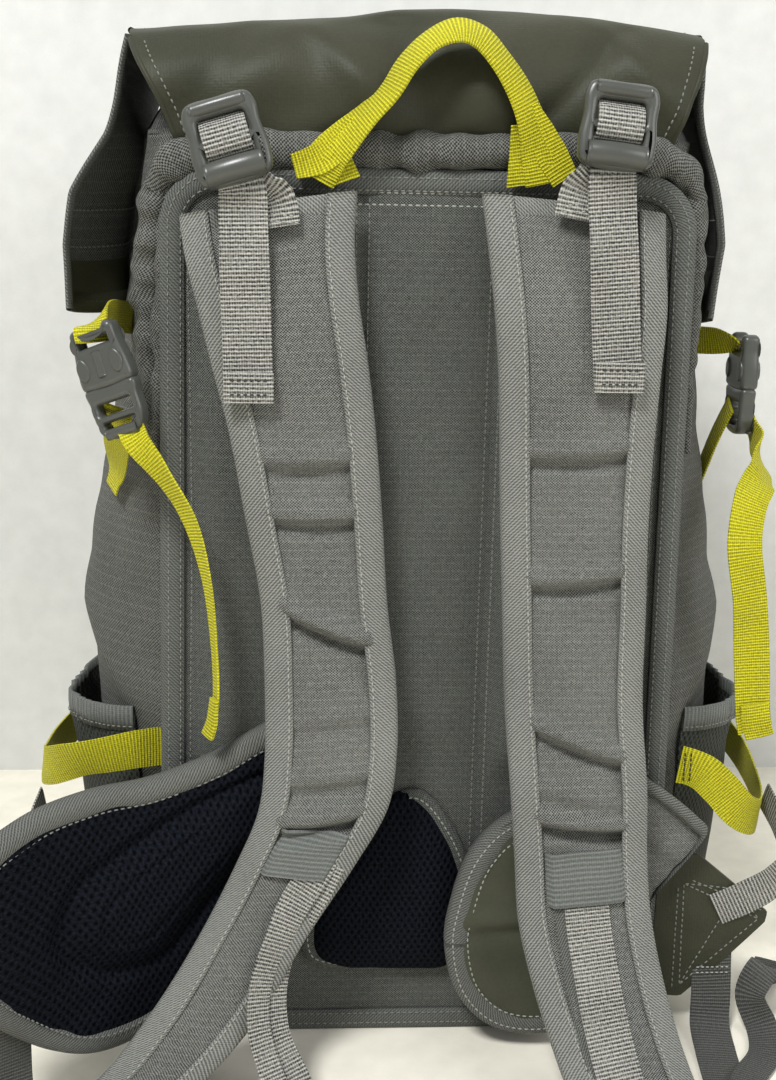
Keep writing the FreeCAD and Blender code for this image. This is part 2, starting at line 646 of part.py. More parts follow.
def make_lifter(side):
    """Load lifter: the ladder lock, its webbing with the free end, and the webbing to the strap."""
    middle, roll = LOCKS[side]
    tail_bottom = middle[2] - 116
    lean = 4.0 if side == "left" else 6.0
    lock = ladder_lock(middle, roll)
    save(f"ladder_lock_{side}", lock)
    front = LOCK_FACE - RUN - WEB_THICK / 2
    slot = (LOCK_HEIGHT - 3 * LOCK_BAR) / 2
    loop_top = middle[2] + LOCK_BAR / 2 + slot * 0.35
    loop_low = middle[2] - LOCK_HEIGHT / 2 - 3
    strap_front = SEAM_Y - 11 - STRAP_THICK / 2
    hang = strap_front - LIFTER_GAP - WEB_THICK / 2
    r = math.radians(roll)
    across = (1, 0, 0)
    rolled = (math.cos(r), 0, math.sin(r))
    inner = LOCK_WIDTH - 2 * (LOCK_BAR - 1) - 2 * RUN
    web = [((middle[0], front, loop_top), rolled), ((middle[0] + lean * 0.1, front, loop_low), rolled),
           ((middle[0] + lean * 0.3, hang - 2.0, loop_low - 14), across),
           ((middle[0] + lean, hang - 2.0, tail_bottom), across)]
    save(f"lifter_web_{side}", webbing(web, inner - 2 * RUN))
    sign = 1 if side == "left" else -1
    down = V(math.sin(r), 0, -math.cos(r))
    foot = V(middle[0], LOCK_FACE + LOCK_THICK / 2, middle[2]) + down * (LOCK_HEIGHT / 2 + SEAT)
    bend = foot + down * 4
    resting = strap_front - SEAT - WEB_THICK / 2
    anchor = [(tuple(foot), rolled), (tuple(bend), rolled),
              ((bend.x + sign, resting + 1.6, bend.z - 10), across),
              ((bend.x + sign * 2, resting - 0.2, bend.z - 26), across)]
    save(f"lifter_anchor_{side}", webbing(anchor, SLIM_WEB))


def make_straps():
    for side, profile, outline in (("left", LEFT_PROFILE, LEFT_OUTLINE),
                                   ("right", RIGHT_PROFILE, RIGHT_OUTLINE)):
        save(f"shoulder_strap_{side}", strap_layer(profile, outline, STRAP_THICK, 0).common(
            block(-400, 400, -400, 0, 0, STRAP_TOP)))
        make_lifter(side)
    top = STRAP_THICK / 2 + SEAT + WEB_THICK / 2
    over = STRAP_THICK / 2 + 3 * SEAT + WEB_THICK + KEEPER_THICK / 2
    keeper_right = [(58, 92), (112, 96), (110, 120), (56, 116)]
    keeper_left = [(-76, 117), (-38, 112), (-30, 134), (-72, 137)]
    save("strap_keeper_right", front_layer(RIGHT_PROFILE, KEEPER_THICK, over, keeper_right))
    save("strap_keeper_left", front_layer(LEFT_PROFILE, KEEPER_THICK, over, keeper_left))
    save("strap_tail_right",
         front_layer(RIGHT_PROFILE, WEB_THICK, top, [(88, 12), (113, 12), (97, 118), (72, 118)]))


# ---------------------------------------------------------------- grab handle
def make_handle():
    rear = PANEL_FACE - BINDING_PROUD - SEAT
    crown = (HANDLE_LEFT + HANDLE_RIGHT) / 2 + 6
    path = [(HANDLE_LEFT, HANDLE_SEAM_Z), (HANDLE_LEFT + 13, HANDLE_SEAM_Z + 18), (-38, 492),
            (-17, HANDLE_TOP - 4),
            (crown, HANDLE_TOP), (20, 501), (38, 480), (HANDLE_RIGHT, HANDLE_SEAM_Z)]
    arch = ribbon(path, HANDLE_WIDTH, in_front(rear - HANDLE_THICK), V(0, HANDLE_THICK, 0))
    save("grab_handle", arch.common(block(-200, 200, -200, 0, HANDLE_SEAM_Z, 600)))


# ---------------------------------------------------------------- side webbing
UPRIGHT = (0, 0, 1)
LOWER_SIDE_STRAP = [((-137.3, -70.8, 139), UPRIGHT), ((-143.5, -63.4, 139), UPRIGHT),
                    ((-168, -66, 138), UPRIGHT),
                    ((-190, -58, 137), UPRIGHT), ((-199, -38, 136), UPRIGHT), ((-199, 10, 136), UPRIGHT),
                    ((-190, 42, 137), UPRIGHT), ((-175, 50, 138), UPRIGHT), ((-170.6, 58, 138), UPRIGHT)]
WING_LOOP = [((168, -83.6, 74), (-0.7, 0, 0.7)), ((196, -83.6, 84), (-0.5, 0, 0.9)),
             ((206, -78, 98), (-0.2, -0.2, 0.9)), ((204, -68, 112), (0, -0.5, 0.9)),
             ((200.6, -50, 122), (0, -0.3, 1))]


# ---------------------------------------------------------------- side release buckles
def buckle_socket():
    """Socket half: cavity open below, webbing bar above, windows at its sides."""
    half = BUCKLE_WIDTH / 2
    deep = BUCKLE_THICK / 2
    outline = rounded_wire([(-half, 0), (half, 0), (half - 2, SOCKET_LENGTH), (-half + 2, SOCKET_LENGTH)],
                           [1.5, 1.5, 4.0, 4.0], in_front(-deep))
    body = prism(outline, V(0, 2 * deep, 0))
    cavity_top = SOCKET_LENGTH - SOCKET_BAR - SLOT_HEIGHT - SOCKET_WALL
    cavity = block(-half + SOCKET_WALL, half - SOCKET_WALL, -deep + SOCKET_WALL, deep - SOCKET_WALL, -1,
                   cavity_top)
    slot_low = SOCKET_LENGTH - SOCKET_BAR - SLOT_HEIGHT
    slot = block(-SLIM_WEB / 2 - RUN, SLIM_WEB / 2 + RUN, -deep - 1, deep + 1, slot_low,
                 slot_low + SLOT_HEIGHT)
    window = block(-half - 1, half + 1, -deep + SOCKET_WALL, deep - SOCKET_WALL, 5, cavity_top - 3)
    return body.cut(cavity).cut(slot).cut(window)


def buckle_plug():
    """Plug half: two prongs and a guide above, two webbing slots below."""
    half = BUCKLE_WIDTH / 2
    deep = BUCKLE_THICK / 2
    outline = rounded_wire([(-half + 1, -PLUG_LENGTH), (half - 1, -PLUG_LENGTH), (half, -RUN), (-half, -RUN)],
                           [6.0, 6.0, 1.5, 1.5], in_front(-deep + 0.5))
    body = prism(outline, V(0, 2 * deep - 1, 0))
    reach = half - SOCKET_WALL - RUN
    inside = deep - SOCKET_WALL - RUN
    for left in (-reach, reach - PRONG_WIDTH, -PRONG_WIDTH / 2):
        body = body.fuse(block(left, left + PRONG_WIDTH, -inside, inside, -2, PRONG_LENGTH - 1))
    for low in (-PLUG_LENGTH + 4.5, -PLUG_LENGTH + 4.5 + SLOT_HEIGHT + 4.0):
        body = body.cut(block(-SLIM_WEB / 2 - RUN, SLIM_WEB / 2 + RUN, -deep, deep, low, low + SLOT_HEIGHT))
    return body.removeSplitter()


def placed(shape, middle, yaw, roll):
    """Turns a piece that faces -Y by roll about Y, then by yaw about Z, and moves it."""
    copy = shape.copy()
    copy.rotate(V(0, 0, 0), V(0, 1, 0), roll)
    copy.rotate(V(0, 0, 0), V(0, 0, 1), yaw)
    copy.translate(V(*middle))
    return copy


def local(middle, yaw, roll, x, y, z):
    """A buckle's own point, in the pack's frame."""
    r = math.radians(roll)
    w = math.radians(yaw)
    px = x * math.cos(r) + z * math.sin(r)
    pz = -x * math.sin(r) + z * math.cos(r)
    return (middle[0] + px * math.cos(w) - y * math.sin(w), middle[1] + px * math.sin(w) + y * math.cos(w),
            middle[2] + pz)


SIDE_BUCKLES = {"left": ((-150.0, -101.0, 357.0), -25.0, -20.0), "right": ((177.0, -22.0, 350.0), 90.0, 0.0)}


def make_side_buckles():
    sockets = []
    anchors = []
    loads = []
    for side, (middle, yaw, roll) in SIDE_BUCKLES.items():
        sign = -1 if side == "left" else 1
        sockets.append(placed(buckle_socket(), middle, yaw, roll))
        save(f"side_buckle_plug_{side}", placed(buckle_plug(), middle, yaw, roll))
        behind = BUCKLE_THICK / 2 + SEAT + WEB_THICK / 2
        w = math.radians(yaw)
        across = (math.cos(w), math.sin(w), 0)
        bar = local(middle, yaw, roll, 0, behind, SOCKET_LENGTH - SOCKET_BAR)
        root_y = 2.0 if side == "right" else -22.0
        root_z = bar[2] - 2
        root = (sign * (side_x(root_z, root_y) + SEAT + WEB_THICK / 2), root_y, root_z)
        mid = ((bar[0] + root[0]) / 2 + sign * 3, (bar[1] + root[1]) / 2, (bar[2] + root[2]) / 2)
        anchors.append(webbing([(root, (0, 0, 1)), (mid, (0, 0, 1)), (bar, (0, 0, 1))], SLIM_WEB * 0.7))
        top = local(middle, yaw, roll, 0, behind + 1.0, -8)
        low_z = 298.0
        low_y = -48.0 if side == "left" else -6.0
        out = V(sign * 0.85, -0.53, 0) if side == "left" else V(1, 0, 0)
        foot = V(sign * side_x(low_z, low_y), low_y, low_z) + out * (SEAT + 0.6 + WEB_THICK / 2)
        foot_across = (0.53, -0.85, 0) if side == "left" else (0, 1, 0)
        loads.append(webbing([(top, across), (tuple(foot), foot_across)], SLIM_WEB * 0.8))
    save("side_buckle_sockets", *sockets)
    webs = anchors + loads
    for stations in (LOWER_SIDE_STRAP, mirrored(LOWER_SIDE_STRAP)):
        webs.append(webbing(stations, SLIM_WEB))
    save("side_webs", *webs)
    middle, yaw, roll = SIDE_BUCKLES["left"]
    start = local(middle, yaw, roll, 0, -BUCKLE_THICK / 2 - RUN - WEB_THICK / 2, -PLUG_LENGTH + 8)
    tail = [(start, (0.9, -0.3, 0.3)), ((-127, -117, 326), (0.8, -0.4, 0.4)),
            ((-112, -117, 300), (0.6, -0.8, 0.3)),
            ((-104, -117, 268), (0.5, -0.85, 0)), ((-103, -117, 230), (0.5, -0.85, 0)),
            ((-105, -117, 192), (0.5, -0.85, 0))]
    save("side_strap_tail_left", webbing(tail, SLIM_WEB * 0.6))
    middle, yaw, roll = SIDE_BUCKLES["right"]
    start = local(middle, yaw, roll, 0, -BUCKLE_THICK / 2 - RUN - WEB_THICK / 2, -PLUG_LENGTH + 8)
    tail = [(start, (0, 1, 0)), ((184.5, -36, 316), (0.1, 0.95, 0.3)), ((181, -62, 298), (0.6, 0.7, 0.3)),
            ((176, -76, 262), (0.95, 0.3, 0)), ((179, -78, 215), (0.95, 0.3, 0)),
            ((184, -78, 174), (0.95, 0.3, 0))]
    save("side_strap_tail_right", webbing(tail, SLIM_WEB))


# ---------------------------------------------------------------- hip belt
FIN_PATH = [(-62, -98.5), (-90, -101), (-120, -108), (-150, -121), (-178, -142), (-203, -171)]
FIN_OUTLINE = [(-58, 168), (-80, 192), (-133, 172), (-174, 166), (-202, 150), (-214, 122), (-203, 86),
               (-186, 52),
               (-168, 28), (-140, 26), (-100, 52), (-70, 80), (-57, 118)]
RIGHT_FIN_OUTLINE = [(26, 112), (16, 74), (22, 36), (42, 17), (80, 13), (112, 30), (136, 86), (148, 124),
                     (122, 148),
                     (84, 142), (50, 136)]


def make_hip_belt():
    sheet = ribbon(FIN_PATH, FIN_THICK, in_plan(0), V(0, 0, 300))
    fin = sheet.common(prism(smooth_wire(FIN_OUTLINE, in_front(-400)), V(0, 400, 0)))
    half = FIN_HINGE_GAP / 2
    panel = PANEL_FACE - SEAT
    filling = prism(smooth_wire(FIN_OUTLINE, in_front(-400)), V(0, 400, 0)).common(
        block(FIN_HINGE_X + half, -64, FIN_PATH[0][1], panel, 72, PAD_BOTTOM - 3))
    base_left = fin.common(block(FIN_HINGE_X + half, 0, -400, 0, 0, 400)).fuse(filling).removeSplitter()
    save("hip_fin_left", fin.common(block(-400, FIN_HINGE_X - half, -400, 0, 0, 400)))
    outline = smooth_wire(RIGHT_FIN_OUTLINE, in_front(RIGHT_FIN_BACK - FIN_THICK))
    save("hip_fin_right", prism(outline, V(0, FIN_THICK, 0)))
    corners = [(92, 54), (130, 54), (132.5, 104), (140, 120), (130, 146), (92, 138)]
    proud = panel - BINDING_PROUD
    base_right = prism(rounded_wire(corners, [6.0] * 6, in_front(RIGHT_FIN_BACK + SEAT)),
                       V(0, proud - RIGHT_FIN_BACK - SEAT, 0))
    save("hip_fin_bases", base_left, base_right)
    wings = []
    edge = PANEL_HALF_LOW + SEAT
    for side in (-1, 1):
        corners = [(edge, 26), (150, 21), (194, 66), (153, 103), (edge, 98)]
        wire = Part.makePolygon([V(side * x, PANEL_FACE - WING_THICK, z) for x, z in corners + corners[:1]])
        wings.append(prism(wire, V(0, WING_THICK, 0)))
    save("stabiliser_wings", *wings)


def make_belt_webbing():
    level = (1, 0, 0)
    lower = []
    sewn = PANEL_FACE - BINDING_PROUD - SEAT - WEB_THICK / 2
    run = [((118, sewn, 30), level), ((118, sewn - 1.5, 8), level), ((116, -104, 2.2), level),
           ((112, -150, 2.0), level), ((107, -191, 2.6), level)]
    lower.append(webbing(run, WIDE_WEB))
    run = [((-112, sewn, 30), level), ((-112, sewn - 1.5, 8), level), ((-116, -108, 2.2), level),
           ((-130, -140, 2.0), level), ((-143, -173, 2.6), (0.9, -0.4, 0))]
    lower.append(webbing(run, WIDE_WEB))
    save("lower_webbing", *lower)

    floor = WEB_THICK / 2 + 0.6
    behind = PANEL_FACE + SEAT + WEB_THICK / 2
    right = [((166, behind, 58), level), ((167, behind, 24), level), ((166, -92, 5), level),
             ((164, -112, floor), level),
             ((160, -150, floor), level), ((158, -176, floor + 1), level)]
    over = floor + WEB_THICK + SEAT
    back = [((160, -175.6, over + 1), level), ((161, -166, over + 0.8), level),
            ((170, -144, over + 0.4), (0.9, -0.4, 0)),
            ((190, -118, floor + 1), (0.9, -0.4, 0)),
            ((197, -84, floor), level), ((210, -52, floor + 1), (0.8, -0.5, 0)),
            ((222, -30, floor + 3), (0.8, -0.5, 0))]
    save("belt_webbing_right", webbing(right, WIDE_WEB), webbing(back, WIDE_WEB * 0.8))
    plug = buckle_plug()
    plug.rotate(V(0, 0, 0), V(1, 0, 0), 90)
    plug.translate(V(158, -176 - 3 * SEAT - PLUG_LENGTH, BUCKLE_THICK / 2 + 0.6))
    save("belt_buckle_plug", plug)

    turn = math.radians(BELT_TURN)
    ahead = V(math.sin(turn), -math.cos(turn), 0)
    beside = (math.cos(turn), math.sin(turn), 0)
    along_fin = (0.75, 0.65, 0)
    left = [((-196, -150, 96), along_fin), ((-199, -153, 40), along_fin), ((-201, -156, 8), beside)]
    landing = V(-201, -156, floor) + ahead * 10
    end = landing + ahead * 24
    left += [(tuple(landing), beside), (tuple(end), beside)]
    save("belt_webbing_left", webbing(left, WIDE_WEB))
    socket = buckle_socket()
    socket.rotate(V(0, 0, 0), V(1, 0, 0), -90)
    socket.rotate(V(0, 0, 0), V(0, 0, 1), BELT_TURN)
    end = end + ahead * (2 * SEAT + SOCKET_LENGTH)
    socket.translate(V(end.x, end.y, BUCKLE_THICK / 2 + 0.6))
    save("belt_buckle_socket", socket)


def make_wing_loops():
    loops = [webbing(stations, SLIM_WEB) for stations in (WING_LOOP, mirrored(WING_LOOP))]
    save("wing_loops", *loops)


def make_adjusters():
    """Strap adjusters at the lower ends of the shoulder straps, lying on the floor side."""
    for side, middle, turn in (("right", (107, -209.5, 10), 0.0), ("left", (-152, -190, 10), -32.0)):
        lock = ladder_lock((0, 0, 0), 0)
        lock.rotate(V(0, 0, 0), V(1, 0, 0), -80)
        lock.rotate(V(0, 0, 0), V(0, 0, 1), turn)
        lock.translate(V(*middle))
        save(f"strap_adjuster_{side}", lock)
    level = (1, 0, 0)
    floor = WEB_THICK / 2 + 0.6
    left = [((-53, -130.0, 134), level), ((-58, -134.3, 114), level), ((-66, -141, 92), level),
            ((-80, -152, 62), level), ((-76, -164, 26), level),
            ((-68, -178, 6), level), ((-72, -204, floor), (0.9, 0.4, 0)),
            ((-100, -222, floor), (0.4, 0.9, 0)),
            ((-140, -213, floor + 6), (0, 1, 0.1))]
    save("strap_tail_left", webbing(left, WIDE_WEB * 0.9))


def main():
    os.makedirs("parts", exist_ok=True)
    make_shell()
    make_collar()
    make_back()
    make_reservoir()
    make_lid()
    make_front_pocket()
    make_side_pockets()
    make_straps()
    make_handle()
    make_side_buckles()
    make_hip_belt()
    make_belt_webbing()
    make_wing_loops()
    make_adjusters()


main()
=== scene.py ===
import bpy
import json
import math
import numpy as np
from mathutils import Matrix, Vector
from mathutils.bvhtree import BVHTree


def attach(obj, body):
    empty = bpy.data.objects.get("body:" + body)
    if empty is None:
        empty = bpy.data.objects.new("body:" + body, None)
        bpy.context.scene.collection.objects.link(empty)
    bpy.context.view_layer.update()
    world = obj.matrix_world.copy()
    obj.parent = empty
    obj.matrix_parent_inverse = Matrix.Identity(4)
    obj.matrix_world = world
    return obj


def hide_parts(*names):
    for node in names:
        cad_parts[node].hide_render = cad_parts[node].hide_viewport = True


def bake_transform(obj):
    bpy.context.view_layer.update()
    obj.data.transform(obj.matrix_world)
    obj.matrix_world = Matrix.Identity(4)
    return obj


# Looks of the hydration pack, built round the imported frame. The lists of shapes are in millimetres, and
# MM turns them into metres. The harness side faces -Y.
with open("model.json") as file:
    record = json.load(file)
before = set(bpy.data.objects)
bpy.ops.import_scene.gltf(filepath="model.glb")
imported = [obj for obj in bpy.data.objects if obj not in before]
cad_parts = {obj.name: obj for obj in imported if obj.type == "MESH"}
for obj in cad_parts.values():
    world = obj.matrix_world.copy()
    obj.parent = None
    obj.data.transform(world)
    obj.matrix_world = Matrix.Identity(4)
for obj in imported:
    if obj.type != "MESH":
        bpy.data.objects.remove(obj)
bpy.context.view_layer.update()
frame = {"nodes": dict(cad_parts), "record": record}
MM = 0.001
TAU = 2 * math.pi
UP = (0.0, 0.0, 1.0)
HARNESS = (0.0, -1.0, 0.0)


# ---------------------------------------------------------------- curves and grids
def spline(points, count):
    """Rows along a smooth curve through the given rows, which may hold more than a position."""
    P = np.array(points, float)
    gaps = np.maximum(np.linalg.norm(np.diff(P[:, :3], axis=0), axis=1), 1e-9) ** 0.5
    t = np.concatenate([[0], np.cumsum(gaps)])
    slope = np.diff(P, axis=0) / gaps[:, None]
    M = np.empty_like(P)
    M[0], M[-1] = slope[0], slope[-1]
    w = gaps[:, None]
    M[1:-1] = (slope[:-1] * w[1:] + slope[1:] * w[:-1]) / (w[:-1] + w[1:])
    x = np.linspace(0, t[-1], count)
    k = np.clip(np.searchsorted(t, x, side="right") - 1, 0, len(gaps) - 1)
    h = w[k]
    s = ((x - t[k]) / gaps[k])[:, None]
    return ((2 * s**3 - 3 * s**2 + 1) * P[k] + (s**3 - 2 * s**2 + s) * h * M[k]
            + (3 * s**2 - 2 * s**3) * P[k + 1] + (s**3 - s**2) * h * M[k + 1])


def loop(points, count):
    """The same for a closed outline. The first row isn't repeated at the end."""
    P = np.array(points, float)
    wrapped = np.concatenate([P[-3:], P, P[:3]])
    dense = spline(wrapped, 60 * len(wrapped))
    a = np.argmin(np.linalg.norm(dense[: len(dense) // 2] - P[0], axis=1))
    b = len(dense) // 2 + np.argmin(np.linalg.norm(dense[len(dense) // 2:] - P[0], axis=1))
    return even(dense[a:b + 1], count + 1)[:-1]


def even(path, count):
    """Points at equal steps of length along a path."""
    P = np.array(path, float)
    d = np.concatenate([[0], np.cumsum(np.linalg.norm(np.diff(P[:, :3], axis=0), axis=1))])
    at = np.linspace(0, d[-1], count)
    return np.stack([np.interp(at, d, P[:, c]) for c in range(P.shape[1])], 1)


def unit(V):
    """Rows scaled to length 1."""
    return V / np.maximum(np.linalg.norm(V, axis=-1, keepdims=True), 1e-12)


def tangents(ring):
    """Directions along a closed path."""
    return unit(np.roll(ring, -1, 0) - np.roll(ring, 1, 0))


def closed(rows):
    """The rows of a ring with the first one again at the end."""
    return np.append(rows, rows[:1], 0)


def even_ring(corners, count):
    """Points at equal steps round a closed outline with straight sides."""
    return even(closed(corners), count + 1)[:-1]


def every(direction, count):
    """The same direction for that many points."""
    return np.repeat([direction], count, 0)


def oval(across, up, count):
    """Profile of a roll or a bar, from its two half sizes."""
    return [(across * math.cos(a), up * math.sin(a)) for a in np.arange(count) * TAU / count]


def ripple(a, b, seed, size):
    """Smooth uneven waves, about -1 to 1, with features of about that size."""
    rng = np.random.RandomState(seed)
    waves = 5
    total = 0
    for _ in range(waves):
        angle = rng.uniform(0, TAU)
        k = TAU / size * rng.uniform(0.6, 1.6)
        total = total + np.sin(k * (a * math.cos(angle) + b * math.sin(angle)) + rng.uniform(0, TAU))
    return total / waves * 1.4


def hump(x, centre, width):
    """A smooth bump, 1 at its centre."""
    return np.exp(-((x - centre) / width) ** 2)


def ramp(x, low, high):
    """A smooth step from 0 at low to 1 at high."""
    s = np.clip((x - low) / (high - low), 0, 1)
    return s * s * (3 - 2 * s)


# ---------------------------------------------------------------- mesh makers
def build(name, verts, faces, uvs, slots, cloths, body, replaces=()):
    """Makes one piece. cloths are keys of M with spaces between, and slots picks one of them per face."""
    mesh = bpy.data.meshes.new(name)
    mesh.from_pydata(np.asarray(verts).tolist(), [], faces)
    layer = mesh.uv_layers.new(name="UVMap")
    loops = np.empty(len(mesh.loops), np.int32)
    mesh.loops.foreach_get("vertex_index", loops)
    layer.data.foreach_set("uv", np.asarray(uvs, np.float32)[loops].ravel())
    for key in cloths.split():
        mesh.materials.append(M[key])
    mesh.polygons.foreach_set("material_index", np.asarray(slots, np.int32))
    mesh.polygons.foreach_set("use_smooth", np.ones(len(faces), bool))
    mesh.update()
    return adopt(name, mesh, body, replaces)


def adopt(name, mesh, body, replaces):
    """Puts a mesh in the scene as a piece, under its body when it has one. Without a body it stays loose."""
    obj = bpy.data.objects.new(name, mesh)
    bpy.context.scene.collection.objects.link(obj)
    if body:
        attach(obj, body)
    if replaces:
        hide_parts(*replaces)
    return obj


def normals_of(G, wrap=False):
    """Normals of a grid, which wrap closes along its first axis."""
    if wrap:
        du = np.roll(G, -1, 0) - np.roll(G, 1, 0)
    else:
        du = np.gradient(G, axis=0)
    dv = np.gradient(G, axis=1)
    return unit(np.cross(du, dv))


def faced(G, i, j, axis, sign=1):
    """The grid, turned over if its face at i, j looks the wrong way along an axis."""
    return G[::-1] if normals_of(G)[i, j, axis] * sign < 0 else G


def slab(name, G, front, back, cloths, body, wrap=False, inner=None, replaces=(), sharp=True):
    """Closed solid round a grid: front and back say how far it stands off the grid on each side, and
    inner(u, v) picks the cloth of its back faces."""
    nu, nv = G.shape[:2]
    N = normals_of(G, wrap)
    A = G + N * (np.zeros((nu, nv)) + front)[..., None]
    B = G - N * (np.zeros((nu, nv)) + back)[..., None]
    lu = np.concatenate([np.zeros((1, nv)), np.cumsum(np.linalg.norm(np.diff(G, axis=0), axis=2), 0)])
    lv = np.concatenate([np.zeros((nu, 1)), np.cumsum(np.linalg.norm(np.diff(G, axis=1), axis=2), 1)], 1)
    uv = np.stack([lu - lu[-1:] / 2, np.repeat(lv.mean(0)[None], nu, 0)], 2)
    verts = np.concatenate([A.reshape(-1, 3), B.reshape(-1, 3)])
    uvs = np.concatenate([uv.reshape(-1, 2), uv.reshape(-1, 2)])
    faces, slots = [], []
    off = nu * nv
    last = nu if wrap else nu - 1
    for i in range(last):
        k = (i + 1) % nu
        for j in range(nv - 1):
            q = (i * nv + j, k * nv + j, k * nv + j + 1, i * nv + j + 1)
            faces.append(q)
            slots.append(0)
            faces.append(tuple(off + v for v in reversed(q)))
            slots.append(0 if inner is None else int(inner(i / max(nu - 1, 1), j / (nv - 1))))
    rim = []
    for i in range(last):
        k = (i + 1) % nu
        rim.append((k * nv, i * nv))
        rim.append((i * nv + nv - 1, k * nv + nv - 1))
    if not wrap:
        for j in range(nv - 1):
            rim.append((j, j + 1))
            rim.append(((nu - 1) * nv + j + 1, (nu - 1) * nv + j))
    for a, b in rim:
        faces.append((a, b, off + b, off + a))
        slots.append(0)
    obj = build(name, verts, faces, uvs, slots, cloths, body, replaces)
    if sharp:
        crease_rim(obj)
    return obj


def crease_rim(obj):
    """Thin cloth keeps a crisp rim: its edges over 50 degrees are shaded sharp."""
    obj.data.set_sharp_from_angle(angle=math.radians(50))


def web(name, stations, width, cloth, body, thick=1.5, replaces=(), count=0, cup=0.0):
    """Webbing through rows of middle point and direction across, in millimetres. width may be one per row."""
    P = np.array(stations, float)
    length = np.linalg.norm(np.diff(P[:, :3], axis=0), axis=1).sum()
    S = spline(P, count or max(int(length / 2.5), 12))
    along = unit(np.gradient(S[:, :3], axis=0))
    side = unit(S[:, 3:])
    side = unit(side - along * (side * along).sum(1)[:, None])
    face = np.cross(side, along)
    across = np.linspace(-1, 1, 7)
    broad = np.interp(np.linspace(0, 1, len(S)), np.linspace(0, 1, len(P)), np.broadcast_to(width, len(P)))
    G = S[None, :, :3] + across[:, None, None] * side[None] * broad[None, :, None] / 2
    G = G + (1 - across[:, None, None] ** 2) * cup * face[None]
    half = thick * MM / 2 * (0.6 + 0.4 * (1 - np.abs(across) ** 6))[:, None]
    return slab(name, G * MM, half, half, cloth, body, replaces=replaces)


def sweep(name, path, out, up, profile, cloths, body, closed=False, replaces=()):
    """A closed profile of (out, up) rows in millimetres carried along a path, with its own two directions."""
    path, out, up = (np.asarray(a, float) for a in (path, out, up))
    prof = np.array(profile, float) * MM
    n, m = len(path), len(prof)
    verts = path[:, None] + prof[None, :, :1] * out[:, None] + prof[None, :, 1:2] * up[:, None]
    step = np.linalg.norm(np.diff(path, axis=0), axis=1)
    run = np.concatenate([[0], np.cumsum(step)])
    girth = np.concatenate([[0], np.cumsum(np.linalg.norm(np.diff(prof, axis=0), axis=1))])
    uvs = np.stack([np.repeat(girth[None], n, 0), np.repeat(run[:, None], m, 1)], 2)
    faces = []
    for i in range(n if closed else n - 1):
        k = (i + 1) % n
        for j in range(m):
            l = (j + 1) % m
            faces.append((i * m + j, k * m + j, k * m + l, i * m + l))
    if not closed:
        faces.append(tuple(reversed(range(m))))
        faces.append(tuple((n - 1) * m + j for j in range(m)))
    return build(name, verts.reshape(-1, 3), faces, uvs.reshape(-1, 2), [0] * len(faces), cloths, body,
                 replaces)


def patch(name, outline, place, rise, back, cloths, body, rings=16, replaces=(), centre=None):
    """A pad or panel inside a closed outline of (a, b). place(a, b) gives points and rise(a, b, r) how far
    the face stands out, where r is 0 at the middle and 1 at the edge, all in millimetres."""
    O = np.asarray(outline, float)
    c = O.mean(0) if centre is None else np.array(centre, float)
    r = np.linspace(0, 1, rings + 1)[1:] ** 0.8
    A = c[None, None] * (1 - r[:, None, None]) + O[None] * r[:, None, None]
    A = np.concatenate([A.reshape(-1, 2), c[None]])
    R = np.concatenate([np.repeat(r, len(O)), [0]])
    P = place(A[:, 0], A[:, 1])
    e = 0.5
    da = place(A[:, 0] + e, A[:, 1]) - P
    db = place(A[:, 0], A[:, 1] + e) - P
    N = unit(np.cross(da, db))
    front = (P + N * rise(A[:, 0], A[:, 1], R)[:, None]) * MM
    rear = (P - N * back) * MM
    verts = np.concatenate([front, rear])
    n, off = len(O), len(front)
    faces = []
    for i in range(rings - 1):
        for j in range(n):
            k = (j + 1) % n
            q = (i * n + j, (i + 1) * n + j, (i + 1) * n + k, i * n + k)
            faces.append(q)
            faces.append(tuple(off + v for v in reversed(q)))
    hub = rings * n
    for j in range(n):
        k = (j + 1) % n
        faces.append((hub, j, k))
        faces.append((off + hub, off + k, off + j))
        a, b = (rings - 1) * n + j, (rings - 1) * n + k
        faces.append((a, off + a, off + b, b))
    obj = build(name, verts, faces, np.concatenate([A, A]) * MM, [0] * len(faces), cloths, body,
                replaces)
    crease_rim(obj)
    return obj


# ---------------------------------------------------------------- stitches
threads = {}


def stitch(path, normals, body, colour, pitch=3.4, size=2.4, radius=0.42):
    """A row of machine stitches along a path in metres, gathered into one piece per body and colour."""
    P = np.asarray(path, float)
    length = np.linalg.norm(np.diff(P, axis=0), axis=1).sum()
    count = max(int(length / (pitch * MM)), 1)
    both = even(np.concatenate([P, np.asarray(normals, float)], 1), count * 2 + 1)
    mid, up = both[1::2, :3], unit(both[1::2, 3:])
    along = unit(both[2::2, :3] - both[:-2:2, :3])
    side = unit(np.cross(up, along))
    up = np.cross(along, side)
    threads.setdefault((body, colour), []).append((mid, along, side, up, size * MM / 2, radius * MM))


def tack(points, body, colour, **kw):
    """Stitches through points in millimetres, on cloth that faces the harness side."""
    stitch(np.array(points) * MM, every(HARNESS, len(points)), body, colour, **kw)


